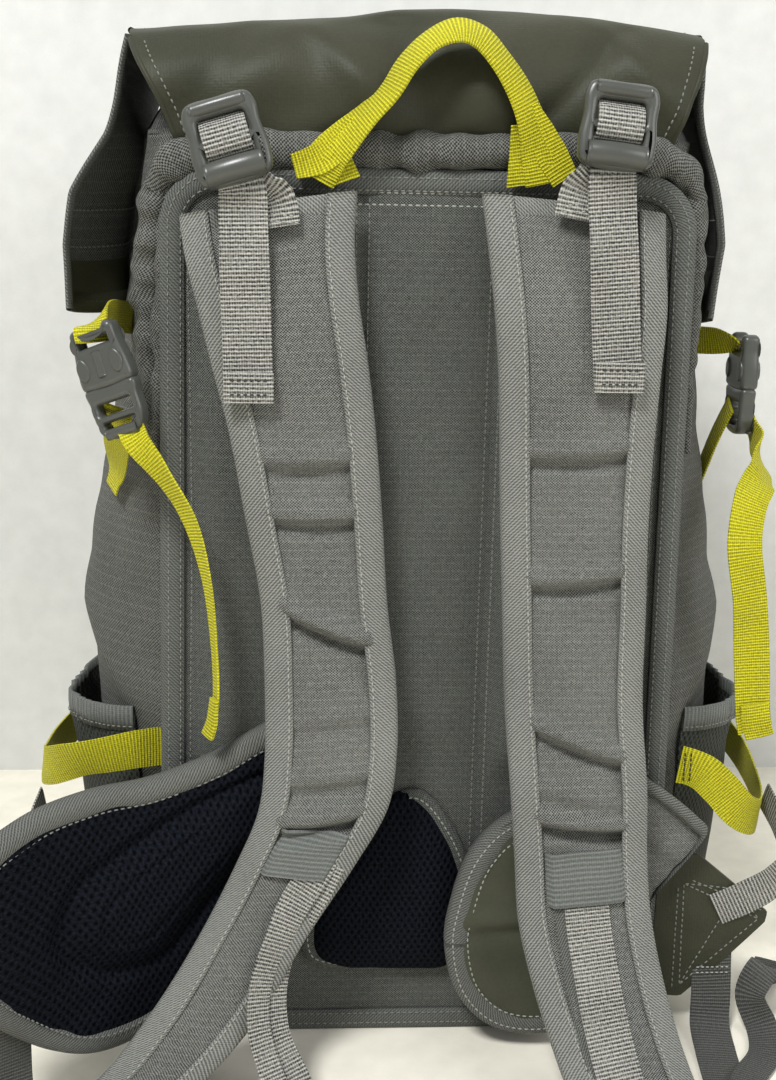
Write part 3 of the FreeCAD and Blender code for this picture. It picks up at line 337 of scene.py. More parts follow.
def sew():
    """Makes the gathered stitches: each is a small rounded bar that dips at its ends."""
    ring = [(0.62, -1, -0.2), (0.62, 0, 0.9), (0.62, 1, -0.2), (-0.62, -1, -0.2), (-0.62, 0, 0.9),
            (-0.62, 1, -0.2), (1, 0, -0.5), (-1, 0, -0.5)]
    local = [(0, 1, 4, 3), (1, 2, 5, 4), (6, 1, 0), (6, 2, 1), (7, 3, 4), (7, 4, 5), (6, 0, 3, 7),
             (7, 5, 2, 6)]
    for (body, colour), rows in threads.items():
        verts, faces = [], []
        for mid, along, side, up, half, radius in rows:
            for k in range(len(mid)):
                base = len(verts)
                for a, s, u in ring:
                    verts.append(mid[k] + along[k] * a * half + side[k] * s * radius + up[k] * u * radius)
                faces.extend(tuple(base + v for v in face) for face in local)
        build(f"stitching_{colour}_{body}", verts, faces, np.zeros((len(verts), 2)), [0] * len(faces),
              colour, body)


def land(obj, points, ray, lift=0.15):
    """Drops points in millimetres onto a piece along a direction, and gives places and normals there."""
    tree = BVHTree.FromObject(obj, bpy.context.evaluated_depsgraph_get())
    d = Vector(ray).normalized()
    away = 0.4  # metres back along the ray, so that it starts outside the pack
    found, normals = [], []
    for p in np.asarray(points, float) * MM:
        hit, normal, _, _ = tree.ray_cast(Vector(p) - d * away, d)
        if hit is None:
            continue
        if normal.dot(d) > 0:
            normal = -normal
        found.append(np.array(hit + normal * lift * MM))
        normals.append(np.array(normal))
    return np.array(found), np.array(normals)


def seam(obj, points, body, colour="thread_light", step=4.0, smooth=True, **kw):
    """Stitches along a line of points in millimetres, dropped onto a piece from the harness side."""
    P = np.array(points, float)
    length = np.linalg.norm(np.diff(P, axis=0), axis=1).sum()
    count = max(int(length / step), 3)
    line = even(spline(P, count * 4) if smooth and len(P) > 2 else P, count)
    found, normals = land(obj, line, (0, 1, 0))
    if len(found) > 1:
        stitch(found, normals, body, colour, **kw)


# ---------------------------------------------------------------- materials
class Cloth:
    """Node helper for one material. Patterns use the UV map, which is in metres."""

    def __init__(self, name, rough, sheen=0.0):
        self.mat = bpy.data.materials.new(name)
        self.mat.use_nodes = True
        self.tree = self.mat.node_tree
        self.bsdf = self.tree.nodes["Principled BSDF"]
        self.bsdf.inputs["Roughness"].default_value = rough
        self.bsdf.inputs["Sheen Weight"].default_value = sheen
        uv = self.tree.nodes.new("ShaderNodeUVMap")
        uv.uv_map = "UVMap"
        split = self.tree.nodes.new("ShaderNodeSeparateXYZ")
        self.tree.links.new(uv.outputs[0], split.inputs[0])
        self.uv = uv.outputs[0]
        self.u, self.v = split.outputs[0], split.outputs[1]

    def put(self, socket, value):
        if isinstance(value, (int, float, tuple)):
            socket.default_value = value
        else:
            self.tree.links.new(value, socket)

    def calc(self, op, a, b=0.0, c=0.0):
        node = self.tree.nodes.new("ShaderNodeMath")
        node.operation = op
        for socket, value in zip(node.inputs, (a, b, c)):
            self.put(socket, value)
        return node.outputs[0]

    def wave(self, coordinate, pitch, power=1.0):
        """0 to 1 waves with that pitch in millimetres, sharpened by power."""
        s = self.calc("SINE", self.calc("MULTIPLY", coordinate, TAU / (pitch * MM)))
        s = self.calc("MULTIPLY_ADD", s, 0.5, 0.5)
        return s if power == 1.0 else self.calc("POWER", s, power)

    def noise(self, size, detail=2.0, flat=True):
        """Noise with features of that size in millimetres, in UV space or in the piece's own space."""
        node = self.tree.nodes.new("ShaderNodeTexNoise")
        node.inputs["Scale"].default_value = 1 / (size * MM)
        node.inputs["Detail"].default_value = detail
        if flat:
            self.tree.links.new(self.uv, node.inputs["Vector"])
        else:
            where = self.tree.nodes.new("ShaderNodeTexCoord")
            self.tree.links.new(where.outputs["Object"], node.inputs["Vector"])
        return node.outputs[0]

    def streak(self, across, along):
        """Noise drawn out to that size in millimetres across and along the cloth."""
        join = self.tree.nodes.new("ShaderNodeCombineXYZ")
        self.put(join.inputs[0], self.calc("MULTIPLY", self.u, 1 / (across * MM)))
        self.put(join.inputs[1], self.calc("MULTIPLY", self.v, 1 / (along * MM)))
        node = self.tree.nodes.new("ShaderNodeTexNoise")
        node.inputs["Scale"].default_value = 1.0
        node.inputs["Detail"].default_value = 1.0
        self.tree.links.new(join.outputs[0], node.inputs["Vector"])
        return node.outputs[0]

    def mix(self, factor, a, b):
        node = self.tree.nodes.new("ShaderNodeMix")
        node.data_type = "RGBA"
        self.put(node.inputs[0], factor)
        self.put(node.inputs[6], a)
        self.put(node.inputs[7], b)
        return node.outputs[2]

    def finish(self, colour, height, depth):
        """Sets the colour and a bump of that depth in millimetres."""
        self.put(self.bsdf.inputs["Base Color"], colour)
        bump = self.tree.nodes.new("ShaderNodeBump")
        bump.inputs["Distance"].default_value = depth * MM
        bump.inputs["Strength"].default_value = 0.9
        self.tree.links.new(height, bump.inputs["Height"])
        self.tree.links.new(bump.outputs[0], self.bsdf.inputs["Normal"])
        return self.mat


def rgb(r, g, b, k=1.0):
    """A colour made darker or lighter by k."""
    return (r * k, g * k, b * k, 1.0)


def woven(name, colour, pitch=1.25, squares=0.0, depth=0.35, rough=0.85, contrast=0.85, twill=False):
    """Plain or twill cloth: crossing yarns of uneven tone with painted shade in the weave's hollows, and
    faint ripstop squares of that size.
    """
    m = Cloth(name, rough, 0.02)
    m.bsdf.inputs["Specular IOR Level"].default_value = 0.25
    wobble = m.calc("MULTIPLY", m.noise(7.0), 0.0009)
    if twill:
        diagonal = m.calc("ADD", m.calc("ADD", m.u, m.v), wobble)
        weave = m.calc("MULTIPLY_ADD", m.wave(diagonal, pitch * 1.5), 0.7,
                       m.calc("MULTIPLY", m.wave(m.v, pitch), 0.3))
    else:
        across = m.calc("SUBTRACT", m.wave(m.calc("ADD", m.u, wobble), pitch * 1.38), 0.5)
        along = m.calc("SUBTRACT", m.wave(m.calc("ADD", m.v, wobble), pitch * 1.2), 0.5)
        weave = m.calc("MULTIPLY_ADD", m.calc("MULTIPLY", across, along), 3.0, 0.5)
    streaks = m.calc("ADD", m.calc("SUBTRACT", m.streak(0.8, 3.4), 0.5),
                     m.calc("SUBTRACT", m.streak(4.0, 0.7), 0.5))
    grain = m.calc("SUBTRACT", m.noise(0.75, 2.0), 0.5)
    slub = 0.35 if twill else 0.6
    height = m.calc("ADD", weave, m.calc("MULTIPLY_ADD", streaks, slub, m.calc("MULTIPLY", grain, slub)))
    if squares:
        dashes = m.calc("MULTIPLY", m.wave(m.v, squares * 1.3, 12.0), m.wave(m.u, pitch * 2.4))
        lines = m.calc("MAXIMUM", m.calc("MULTIPLY", m.wave(m.u, squares, 12.0), 0.15), dashes)
        height = m.calc("MULTIPLY_ADD", lines, 0.38, height)
    wear = m.calc("MULTIPLY", m.calc("SUBTRACT", m.noise(45.0, 5.0, False), 0.5), 0.5)
    # The colour follows the height: painted shade in the weave's hollows and painted highlight on its raised
    # yarns, over yarn tone and wear that differ at random.
    shade = m.calc("ADD", m.calc("MULTIPLY_ADD", height, 1.35, -0.2), wear)
    base = m.mix(shade, rgb(*colour, 1 - contrast), rgb(*colour, 1 + contrast * 1.1))
    return m.finish(base, height, depth)


def webbing(name, colour, contrast, pitch=1.9, depth=0.5):
    """Ribbed webbing: ribs across, fine yarns along, and a plain selvage."""
    m = Cloth(name, 0.75, 0.05)
    m.bsdf.inputs["Specular IOR Level"].default_value = 0.3
    rib = m.wave(m.v, pitch, 1.4)
    yarn = m.wave(m.u, 1.15)
    height = m.calc("MULTIPLY_ADD", rib, 0.8, m.calc("MULTIPLY", yarn, 0.3))
    uneven = m.calc("SUBTRACT", m.streak(1.4, 0.9), 0.5)
    shade = m.calc("ADD", m.calc("MULTIPLY", height, 0.85), m.calc("MULTIPLY", uneven, 1.1))
    shade = m.calc("ADD", shade, m.calc("MULTIPLY", m.calc("SUBTRACT", m.noise(22.0, 2.0, False), 0.5), 0.3))
    base = m.mix(shade, rgb(*colour, 1 - contrast), rgb(*colour, 1 + contrast * 0.55))
    return m.finish(base, height, depth)


def netting(name, colour, hole_shade, pitch, size, depth=0.9, gloss=0.3, painted_glint_level=2.2):
    """Knitted mesh: staggered round holes in a thick knit. The holes are painted nearly black as painted
    shade, the knit's ridges a little lighter as painted highlight, and a few yarns much lighter as painted
    glints.
    """
    m = Cloth(name, 0.8)
    m.bsdf.inputs["Specular IOR Level"].default_value = gloss
    rows = m.calc("MULTIPLY", m.wave(m.u, pitch), m.wave(m.v, pitch * 1.7))
    between = m.calc("MULTIPLY", m.wave(m.calc("ADD", m.u, pitch * MM / 2), pitch),
                     m.wave(m.calc("ADD", m.v, pitch * 0.85 * MM), pitch * 1.7))
    holes = m.calc("POWER", m.calc("MAXIMUM", rows, between), size)
    knit = m.wave(m.calc("ADD", m.u, m.v), 0.9)
    height = m.calc("SUBTRACT", m.calc("MULTIPLY", knit, 0.14), holes)
    # Painted glint: noise lifts a few yarns towards a much lighter colour, a painted highlight where the knit
    # would catch the light.
    painted_glint = m.calc("MULTIPLY", m.calc("SUBTRACT", m.noise(1.1, 2.0), 0.42), 2.4)
    # The knit's ridges are painted slightly lighter too, as painted highlight on the raised yarns.
    base = m.mix(m.calc("ADD", m.calc("MULTIPLY", knit, 0.15), painted_glint), rgb(*colour, 0.85),
                 rgb(*colour, painted_glint_level))
    # The holes are painted nearly black: painted shade inside the openings.
    base = m.mix(holes, base, rgb(*hole_shade))
    return m.finish(base, height, depth)


def coated(name, colour, rough=0.5):
    """Coated cloth: a faint weave under a soft film, with large soft patches paler and darker at random."""
    m = Cloth(name, rough)
    m.bsdf.inputs["Specular IOR Level"].default_value = 0.16
    weave = m.calc("MULTIPLY", m.wave(m.u, 1.5), m.wave(m.v, 1.5))
    grain = m.noise(1.9, 5.0)
    height = m.calc("MULTIPLY_ADD", weave, 0.3, m.calc("MULTIPLY", grain, 1.3))
    cloud = m.calc("MULTIPLY", m.noise(45.0, 5.0, False), 0.9)
    base = m.mix(m.calc("MULTIPLY_ADD", grain, 0.35, cloud), rgb(*colour, 0.45), rgb(*colour, 1.6))
    return m.finish(base, height, 0.16)


def moulded(name, colour, rough=0.34, metallic=0.0):
    """Moulded plastic or metal: fine grain, a little mottling."""
    m = Cloth(name, rough)
    m.bsdf.inputs["Metallic"].default_value = metallic
    grain = m.noise(0.9, 3.0, False)
    cloud = m.noise(14.0, 3.0, False)
    base = m.mix(m.calc("MULTIPLY_ADD", grain, 0.3, m.calc("MULTIPLY", cloud, 0.7)), rgb(*colour, 0.85),
                 rgb(*colour, 1.15))
    return m.finish(base, grain, 0.03)


GREY = (0.095, 0.097, 0.088)
M = {
    "body": woven("body_ripstop", GREY, pitch=1.4, squares=4.4),
    "panel": woven("panel_ripstop", (0.086, 0.091, 0.082), pitch=1.05, squares=3.2),
    "strap": woven("strap_ripstop", (0.136, 0.139, 0.128), pitch=1.05, squares=3.2),
    "lining": woven("lining_ripstop", (0.080, 0.082, 0.076), squares=4.4),
    "twill": woven("binding_twill", (0.178, 0.182, 0.167), pitch=1.3, twill=True, contrast=0.55),
    "twill_dark": woven("dark_twill", (0.108, 0.111, 0.101), pitch=1.3, twill=True, contrast=0.55),
    "edge": woven("edge_tape", (0.092, 0.097, 0.088), pitch=1.3, twill=True, contrast=0.5, depth=0.15),
    "elastic": webbing("elastic_tape", (0.140, 0.150, 0.138), pitch=2.4, depth=0.3, contrast=0.45),
    "web": webbing("grey_webbing", (0.33, 0.325, 0.295), contrast=0.95),
    "web_dark": webbing("dark_webbing", (0.088, 0.09, 0.082), contrast=0.6),
    "lime": webbing("lime_webbing", (0.53, 0.50, 0.010), pitch=1.6, contrast=0.6),
    "olive": coated("lid_coated", (0.034, 0.035, 0.022)),
    "olive_soft": coated("fin_coated", (0.046, 0.049, 0.033), rough=0.6),
    "mesh": netting("spacer_mesh", (0.0046, 0.0056, 0.0086), (0.0003, 0.0003, 0.0004), pitch=3.8,
                    size=2.2, gloss=0.05, painted_glint_level=3.0),
    "net": netting("pocket_net", (0.044, 0.050, 0.040), (0.005, 0.006, 0.005), pitch=3.2, depth=0.6,
                   size=1.3),
    "plastic": moulded("grey_plastic", (0.064, 0.067, 0.059), rough=0.32),
    "thread_light": moulded("thread_light", (0.36, 0.365, 0.33), rough=0.7),
    "thread_dark": moulded("thread_dark", (0.03, 0.032, 0.027), rough=0.8),
    "thread_grey": moulded("thread_grey", (0.19, 0.195, 0.172), rough=0.75),
    "dark_plastic": moulded("dark_plastic", (0.03, 0.03, 0.03)),
    "hook": woven("hook_loop", (0.045, 0.048, 0.044), pitch=1.1, depth=0.5, rough=0.95),
    "sheet": moulded("frame_sheet_plastic", (0.62, 0.62, 0.6), rough=0.5),
    "metal": moulded("drawn_aluminium", (0.72, 0.72, 0.73), rough=0.32, metallic=1.0),
    "film": moulded("bladder_film", (0.55, 0.66, 0.72), rough=0.16),
    "blue": moulded("cap_plastic", (0.05, 0.16, 0.32), rough=0.35),
}


# ---------------------------------------------------------------- bag body
BAG_TOP = 474
# Rows of height, half width and reach towards +Y.
LEVELS = [(0, 138, 75), (10, 146, 82), (35, 161, 91), (100, 168, 95), (176, 173, 98), (226, 177, 100),
          (280, 171, 99), (330, 161, 97), (400, 151, 92), (440, 146, 87), (BAG_TOP, 140, 80)]
BACK_WALL = -79.0
RING_POINTS = 300
TRAY_ROWS = 8  # lowest rows of the bag's grid, which make the base tray


def bag_ring(z, count):
    """Closed level outline of the bag at a height, from the middle of the rear wall round by +X."""
    half, front = (np.interp(z, [l[0] for l in LEVELS], [l[k] for l in LEVELS]) for k in (1, 2))
    back = 131 - 9 * z / BAG_TOP
    puff = 3 * ramp(z, 300, 420)
    right = [(0, BACK_WALL), (60, BACK_WALL), (back - 12, BACK_WALL),
             (back + 1 + puff * 0.7, BACK_WALL + 6 - puff * 0.4),
             (back + (half - back) * 0.62 + puff * 0.35, -50), (half, -22), (half + 1, 15),
             (half - 3, front - 47), (half - 18, front - 17), (half - 50, front),
             (half * 0.4, front + 2), (0, front + 3)]
    whole = right + [(-x, y) for x, y in right[-2:0:-1]]
    P = np.array(whole, float)
    ends = np.concatenate([P[-2:], P, P[:3]])
    dense = spline(ends, 40 * len(ends))
    start = np.argmin(np.abs(dense[:200, 0]) + np.abs(dense[:200, 1] - BACK_WALL))
    tail = dense[start:]
    stop = len(tail) // 2 + np.argmin(np.linalg.norm(tail[len(tail) // 2:] - tail[0], axis=1))
    ring = even(tail[:stop + 1], count + 1)[:-1]
    ring[:, 0] -= 7 * ramp(ring[:, 0], 110, 150) * ramp(z, 190, 260)
    return ring


def bag_surface(heights, count):
    """The bag's plain wall as a grid: round the ring first, then up."""
    rings = [bag_ring(z, count) for z in heights]
    return np.stack([np.column_stack([r, np.full(count, z)]) for r, z in zip(rings, heights)], 1)


def rumple(G):
    """Cloth over a loose load: long soft folds, drawn-in seams and gathers under the lid."""
    N = normals_of(G, True)
    x, y, z = G[..., 0], G[..., 1], G[..., 2]
    side = ramp(np.abs(x), 90, 140)
    soft = 2.2 * ripple(y + 0.3 * x, z * 0.7, 3, 150) + 0.9 * ripple(y, z, 8, 48)
    diagonal = hump((z - 250) - 0.9 * (y - 10), 0, 26) - hump((z - 205) - 0.8 * (y + 5), 0, 20)
    gather = ramp(z, 370, 460) * 3.6 * np.sin((x * 0.9 + y) / 7.5 + 0.4 * np.sin(z / 22))
    corner = hump(y, -66, 13) * side
    fold = corner * ramp(z, 330, 420) * 5.0 * np.sin((z + 1.4 * y) / 11.0 + 1.0)
    groove = -2.4 * (hump(y, -74.5, 3) + hump(y, 40, 3)) * side
    base = ramp(z, 4, 40)
    d = (soft * (0.35 + 0.65 * side) + 2.4 * diagonal * side + gather * 0.6 + fold) * base + groove
    return G + N * d[..., None]


def one_run(picked):
    """Numbers of the ring's picked points in one run, also where they pass its start."""
    index = np.flatnonzero(picked)
    breaks = np.flatnonzero(np.diff(index) > 1)
    return np.roll(index, -breaks[0] - 1) if len(breaks) else index


def level_place(z):
    """For patch: a level floor at that height."""
    return lambda a, b: np.stack([a, b, np.full_like(a, z)], 1)


def level_roll(name, ring, profile, cloth):
    """A roll of cloth along a closed level ring in metres."""
    up = every(UP, len(ring))
    sweep(name, ring, unit(np.cross(tangents(ring), up)), up, profile, cloth, "pack", closed=True)


def make_body():
    """The bag in four walls with a lining, and its base tray."""
    heights = np.concatenate([np.linspace(0, 12, 5)[:-1], np.linspace(12, BAG_TOP, 100)])
    G = rumple(bag_surface(heights, RING_POINTS))
    x, y = G[:, 50, 0], G[:, 50, 1]
    back, front = (y < -75) & (np.abs(x) < 118), y > 40
    sides = ~back & ~front
    for name, picked in (("side_panel_left", sides & (x < 0)), ("side_panel_right", sides & (x > 0)),
                         ("front_panel", front), ("back_lining", back)):
        rows = one_run(picked)
        rows = np.append(rows, (rows[-1] + 1) % RING_POINTS)
        part = G[rows][:, TRAY_ROWS - 1:]
        slab("bag_" + name, part * MM, 0, 1.6 * MM, "body lining", "pack",
             inner=lambda u, v: 1, replaces=(name,), sharp=False)
        if name == "front_panel":
            for k in (2, len(rows) - 3):
                line = part[k, ::3] * MM
                stitch(line, normals_of(part * MM)[k, ::3], "pack", "thread_light")
    # Base: a tray with a rounded edge and a bound seam round its top.
    tray = G[:, :TRAY_ROWS]
    slab("bag_base_wall", tray * MM, 0.5 * MM, 1.8 * MM, "twill_dark lining", "pack",
         wrap=True, inner=lambda u, v: 1, replaces=("base_panel",), sharp=False)
    patch("bag_base_floor", tray[::3, 0, :2], level_place(0.4), lambda a, b, r: 1.2 + 0 * r, 0.4,
          "twill_dark", "pack", rings=8)
    level_roll("base_seam_piping", tray[:, -1] * MM, oval(1.9, 1.7, 8), "twill")
    return G


body_grid = make_body()


def make_collar():
    """Soft collar that draws in under the lid, with a rolled hem and gathers."""
    z = np.linspace(0, 1, 14)
    base = body_grid[:, -1]
    count = len(base)
    angle = np.arange(count) / count * TAU
    rows = []
    for t in z:
        shrink = 1 - 0.155 * t**1.2
        wave = 1 + 0.012 * t * np.sin(angle * 37 + 2 * np.sin(angle * 5))
        ring = base.copy()
        ring[:, 0] = base[:, 0] * shrink * wave
        ring[:, 1] = 2 + (base[:, 1] - 2) * (shrink * wave - 0.05 * t)
        ring[:, 2] = 472 + 34 * t
        rows.append(ring)
    G = np.stack(rows, 1)
    slab("top_collar_cloth", G * MM, 0, 1.2 * MM, "lining", "pack", wrap=True,
         replaces=("top_collar",), sharp=False)
    level_roll("collar_hem", G[:, -1] * MM, oval(3, 4, 10), "twill_dark")


make_collar()


# ---------------------------------------------------------------- back panel
PANEL_Y = -85.0
PANEL_LOW, PANEL_TOP, PANEL_CORNER = 2, 456, 26


def panel_half(z):
    """Half width of the back panel at a height, drawn in at its rounded corners."""
    half = 134 - 8 * (z - PANEL_LOW) / (PANEL_TOP - PANEL_LOW)
    d = np.minimum(np.minimum(z - PANEL_LOW, PANEL_TOP - z), PANEL_CORNER)
    return half - (PANEL_CORNER - np.sqrt(np.maximum(PANEL_CORNER**2 - (PANEL_CORNER - d) ** 2, 0)))


def make_back_panel():
    """The panel on the wearer's back: two raised pads beside a channel, with sewn lines and a bound edge."""
    z = np.concatenate([PANEL_LOW + PANEL_CORNER * (1 - np.cos(np.linspace(0, math.pi / 2, 12)))[:-1],
                        np.linspace(PANEL_LOW + PANEL_CORNER, PANEL_TOP - PANEL_CORNER, 110),
                        PANEL_TOP - PANEL_CORNER * (1 - np.cos(np.linspace(math.pi / 2, 0, 12)))[1:]])
    u = np.linspace(-1, 1, 91)
    X = u[:, None] * panel_half(z)[None]
    Z = np.repeat(z[None], len(u), 0)
    x = np.abs(X)
    rise = 7.2 * ramp(x, 34, 46) * (1 - ramp(x, 100, 117)) * ramp(Z, 146, 168) * (1 - ramp(Z, 404, 428))
    channel = 1.4 * (1 - ramp(x, 20, 33)) * ramp(Z, 150, 190)
    soft = 0.5 * ripple(X, Z * 0.5, 21, 70) + 0.35 * ripple(X, Z, 5, 26)
    seams = 1.3 * (hump(x, 33, 2.2) + hump(x, 118, 2.0)) * ramp(Z, 30, 60)
    G = np.stack([X, PANEL_Y - rise - channel - soft * 0.7 + seams, Z], 2)
    panel = slab("back_panel_cloth", G * MM, 0, (3.6 + rise * 0.6) * MM, "panel", "pack",
                 replaces=("back_panel", "back_pads"))
    for side in (-1, 1):
        for x0 in (29.5, 35.5):
            seam(panel, [(side * x0, 0, z0) for z0 in (48, 150, 300, 448)], "pack", colour="thread_grey")
        for x0 in (115, 120.5):
            seam(panel, [(side * (x0 + 3), 0, z0) if z0 < 200 else (side * x0, 0, z0)
                         for z0 in (40, 150, 300, 430)], "pack", colour="thread_grey")
    for z0 in (441, 446.5):
        seam(panel, [(-70, 0, z0), (0, 0, z0), (70, 0, z0)], "pack")
    # Binding tape round the panel's edge.
    z1 = np.concatenate([z, z[::-1]])
    x1 = np.concatenate([panel_half(z), -panel_half(z)[::-1]])
    ring = even_ring(np.column_stack([x1, z1]), 420)
    path = np.column_stack([ring[:, 0], np.full(len(ring), PANEL_Y), ring[:, 1]]) * MM
    up = every(HARNESS, len(ring))
    out = unit(np.cross(up, tangents(path)))
    if out[0, 0] < 0:
        out = -out
    profile = [(-10.5, 0.4), (-10.2, 1.7), (-5, 2.3), (-0.5, 2.2), (1.4, 1.0), (1.8, -1.5), (1.0, -4.0),
               (-2, -5.0), (-3, -4.6), (0, -3.6), (0.6, -1.5), (0.2, 0.2), (-4, 0.6)]
    sweep("back_panel_tape", path, out, up, profile, "edge", "pack", closed=True,
          replaces=("back_panel_binding",))
    for inset in (2.6, 8.6):
        line = closed(path) - closed(out) * inset * MM
        line[:, 1] = (PANEL_Y - 2.35) * MM
        stitch(line, every(HARNESS, len(line)), "pack", "thread_grey")


make_back_panel()


def cloth_roll(name, stations, seed, squeeze):
    """A soft roll of cloth through rows of x, y, z and two half sizes, puckered along its length."""
    S = spline(stations, max(int(len(stations) * 16), 40))
    path = S[:, :3]
    along = unit(np.gradient(path, axis=0))
    face = unit(np.cross(along, every(HARNESS, len(path))))
    out = np.cross(face, along)
    a = np.arange(40) / 40 * TAU
    run = np.concatenate([[0], np.cumsum(np.linalg.norm(np.diff(path, axis=0), axis=1))])
    puff = 1 + 0.10 * ripple(run[:, None], 9 * np.cos(a)[None], seed, 34) * squeeze
    puff = puff + 0.09 * ripple(run[:, None], 12 * np.sin(a)[None], seed + 40, 17) * squeeze
    twist = 2.2 * np.sin(a)[None] + 3 * np.sin(run[:, None] / 19)
    puff = puff + 0.05 * np.sin(run[:, None] / 4.3 + twist) * squeeze
    across, up = face * S[:, 3:4], out * S[:, 4:5]
    wall = np.cos(a)[:, None, None] * across[None] + np.sin(a)[:, None, None] * up[None]
    G = path[None] + puff.T[..., None] * wall
    middle = len(path) // 2
    if (normals_of(G, True)[10, middle] * (G[10, middle] - path[middle])).sum() < 0:
        G = G[::-1]
    piece = slab(name, G * MM, 0, 0.8 * MM, "body", "pack", wrap=True, sharp=False)


def make_yoke():
    """The bag's rolled top edge above the back panel, and the loose folds down its rear corners."""
    cloth_roll("yoke_roll", [(-131, -76, 446, 5, 5), (-121, -80, 458, 8, 8), (-98, -82.5, 463, 9, 9),
                             (-50, -83, 465, 8, 8), (0, -84, 465.5, 9, 8), (50, -83.5, 467, 8.5, 9),
                             (100, -82, 466, 9, 9), (121, -79, 459, 8, 8), (131, -74, 446, 5, 5)], 3, 1.7)
    cloth_roll("shoulder_fold_left", [(-121, -78, 464, 4, 4), (-128, -75, 450, 7, 7),
                                      (-132, -73, 425, 8, 8), (-134, -71, 395, 8, 8),
                                      (-135, -72, 362, 6, 6), (-134, -75, 330, 3, 3)], 5, 2.2)
    cloth_roll("shoulder_fold_inner_left", [(-122, -79, 450, 3, 3), (-125, -80, 425, 5, 5),
                                            (-127, -80, 390, 5, 5), (-130, -79, 350, 4, 4),
                                            (-133, -78, 316, 2, 2)], 6, 2.2)
    cloth_roll("shoulder_fold_right", [(121, -77, 464, 4, 4), (127, -75, 450, 6, 5), (130, -73, 424, 6, 6),
                                       (131, -71, 392, 6, 5), (132, -72, 352, 4, 4), (134, -75, 322, 2, 2)],
               9, 1.6)


make_yoke()


# ---------------------------------------------------------------- shoulder straps
# Rows of outer x, outer z, inner x, inner z and depth, from the top seam to the lower end.
LEFT_STRAP = [(-115, 434, -38, 446, -99), (-112, 415, -39, 424, -103.5), (-107, 395, -37, 399, -106.5),
              (-100, 365, -32, 368, -107), (-93, 337, -28, 337, -107), (-85, 293, -24, 294, -107.5),
              (-78, 253, -21, 253, -109), (-76, 212, -16, 214, -112), (-76, 172, -15, 177, -117),
              (-79, 148, -19, 150, -121.5), (-90, 122, -35, 122, -127), (-109, 86, -59, 87, -136),
              (-130, 54, -83, 49, -147), (-152, 28, -109, 22, -158), (-167, 17, -127, 11, -165)]
RIGHT_STRAP = [(106, 439, 24, 446, -99), (106.5, 418, 27, 425, -103.5), (108, 395, 31, 395, -106.5),
               (107, 365, 34, 365, -107), (106, 328, 36, 328, -107), (106, 290, 38, 290, -107.5),
               (107, 254, 40, 254, -109), (108, 201, 43, 201, -112.5), (112, 157, 47, 157, -118.5),
               (113, 125, 50, 122, -123), (115, 95, 52, 92, -131), (120, 66, 59, 62, -144),
               (128, 36, 69, 33, -162), (136, 15, 78, 13, -186)]


# Creases across each strap: height, rise towards the inner edge, depth and width.
LEFT_CREASES = [(318, 1, 2.4, 5), (291, 0, 3.2, 4.5), (236, -12, 4.6, 4), (190, 4, 1.2, 6), (160, 4, 1.6, 5),
                (140, 4, 3.8, 4)]
RIGHT_CREASES = [(323, -2, 2.8, 5), (261, -3, 3.4, 4.5), (177, 13, 4.0, 5), (150, 6, 1.6, 4),
                 (136, 3, 5.0, 4)]


def strap_grid(rows):
    """Middle surface of a strap: across from the outer edge to the inner one, then down."""
    S = spline([((o + i) / 2, y, (oz + iz) / 2, o, oz, i, iz) for o, oz, i, iz, y in rows], 190)
    u = np.linspace(0, 1, 25)[:, None]
    return np.stack([S[None, :, 3] * (1 - u) + S[None, :, 5] * u, np.repeat(S[None, :, 1], len(u), 0),
                     S[None, :, 4] * (1 - u) + S[None, :, 6] * u], 2)


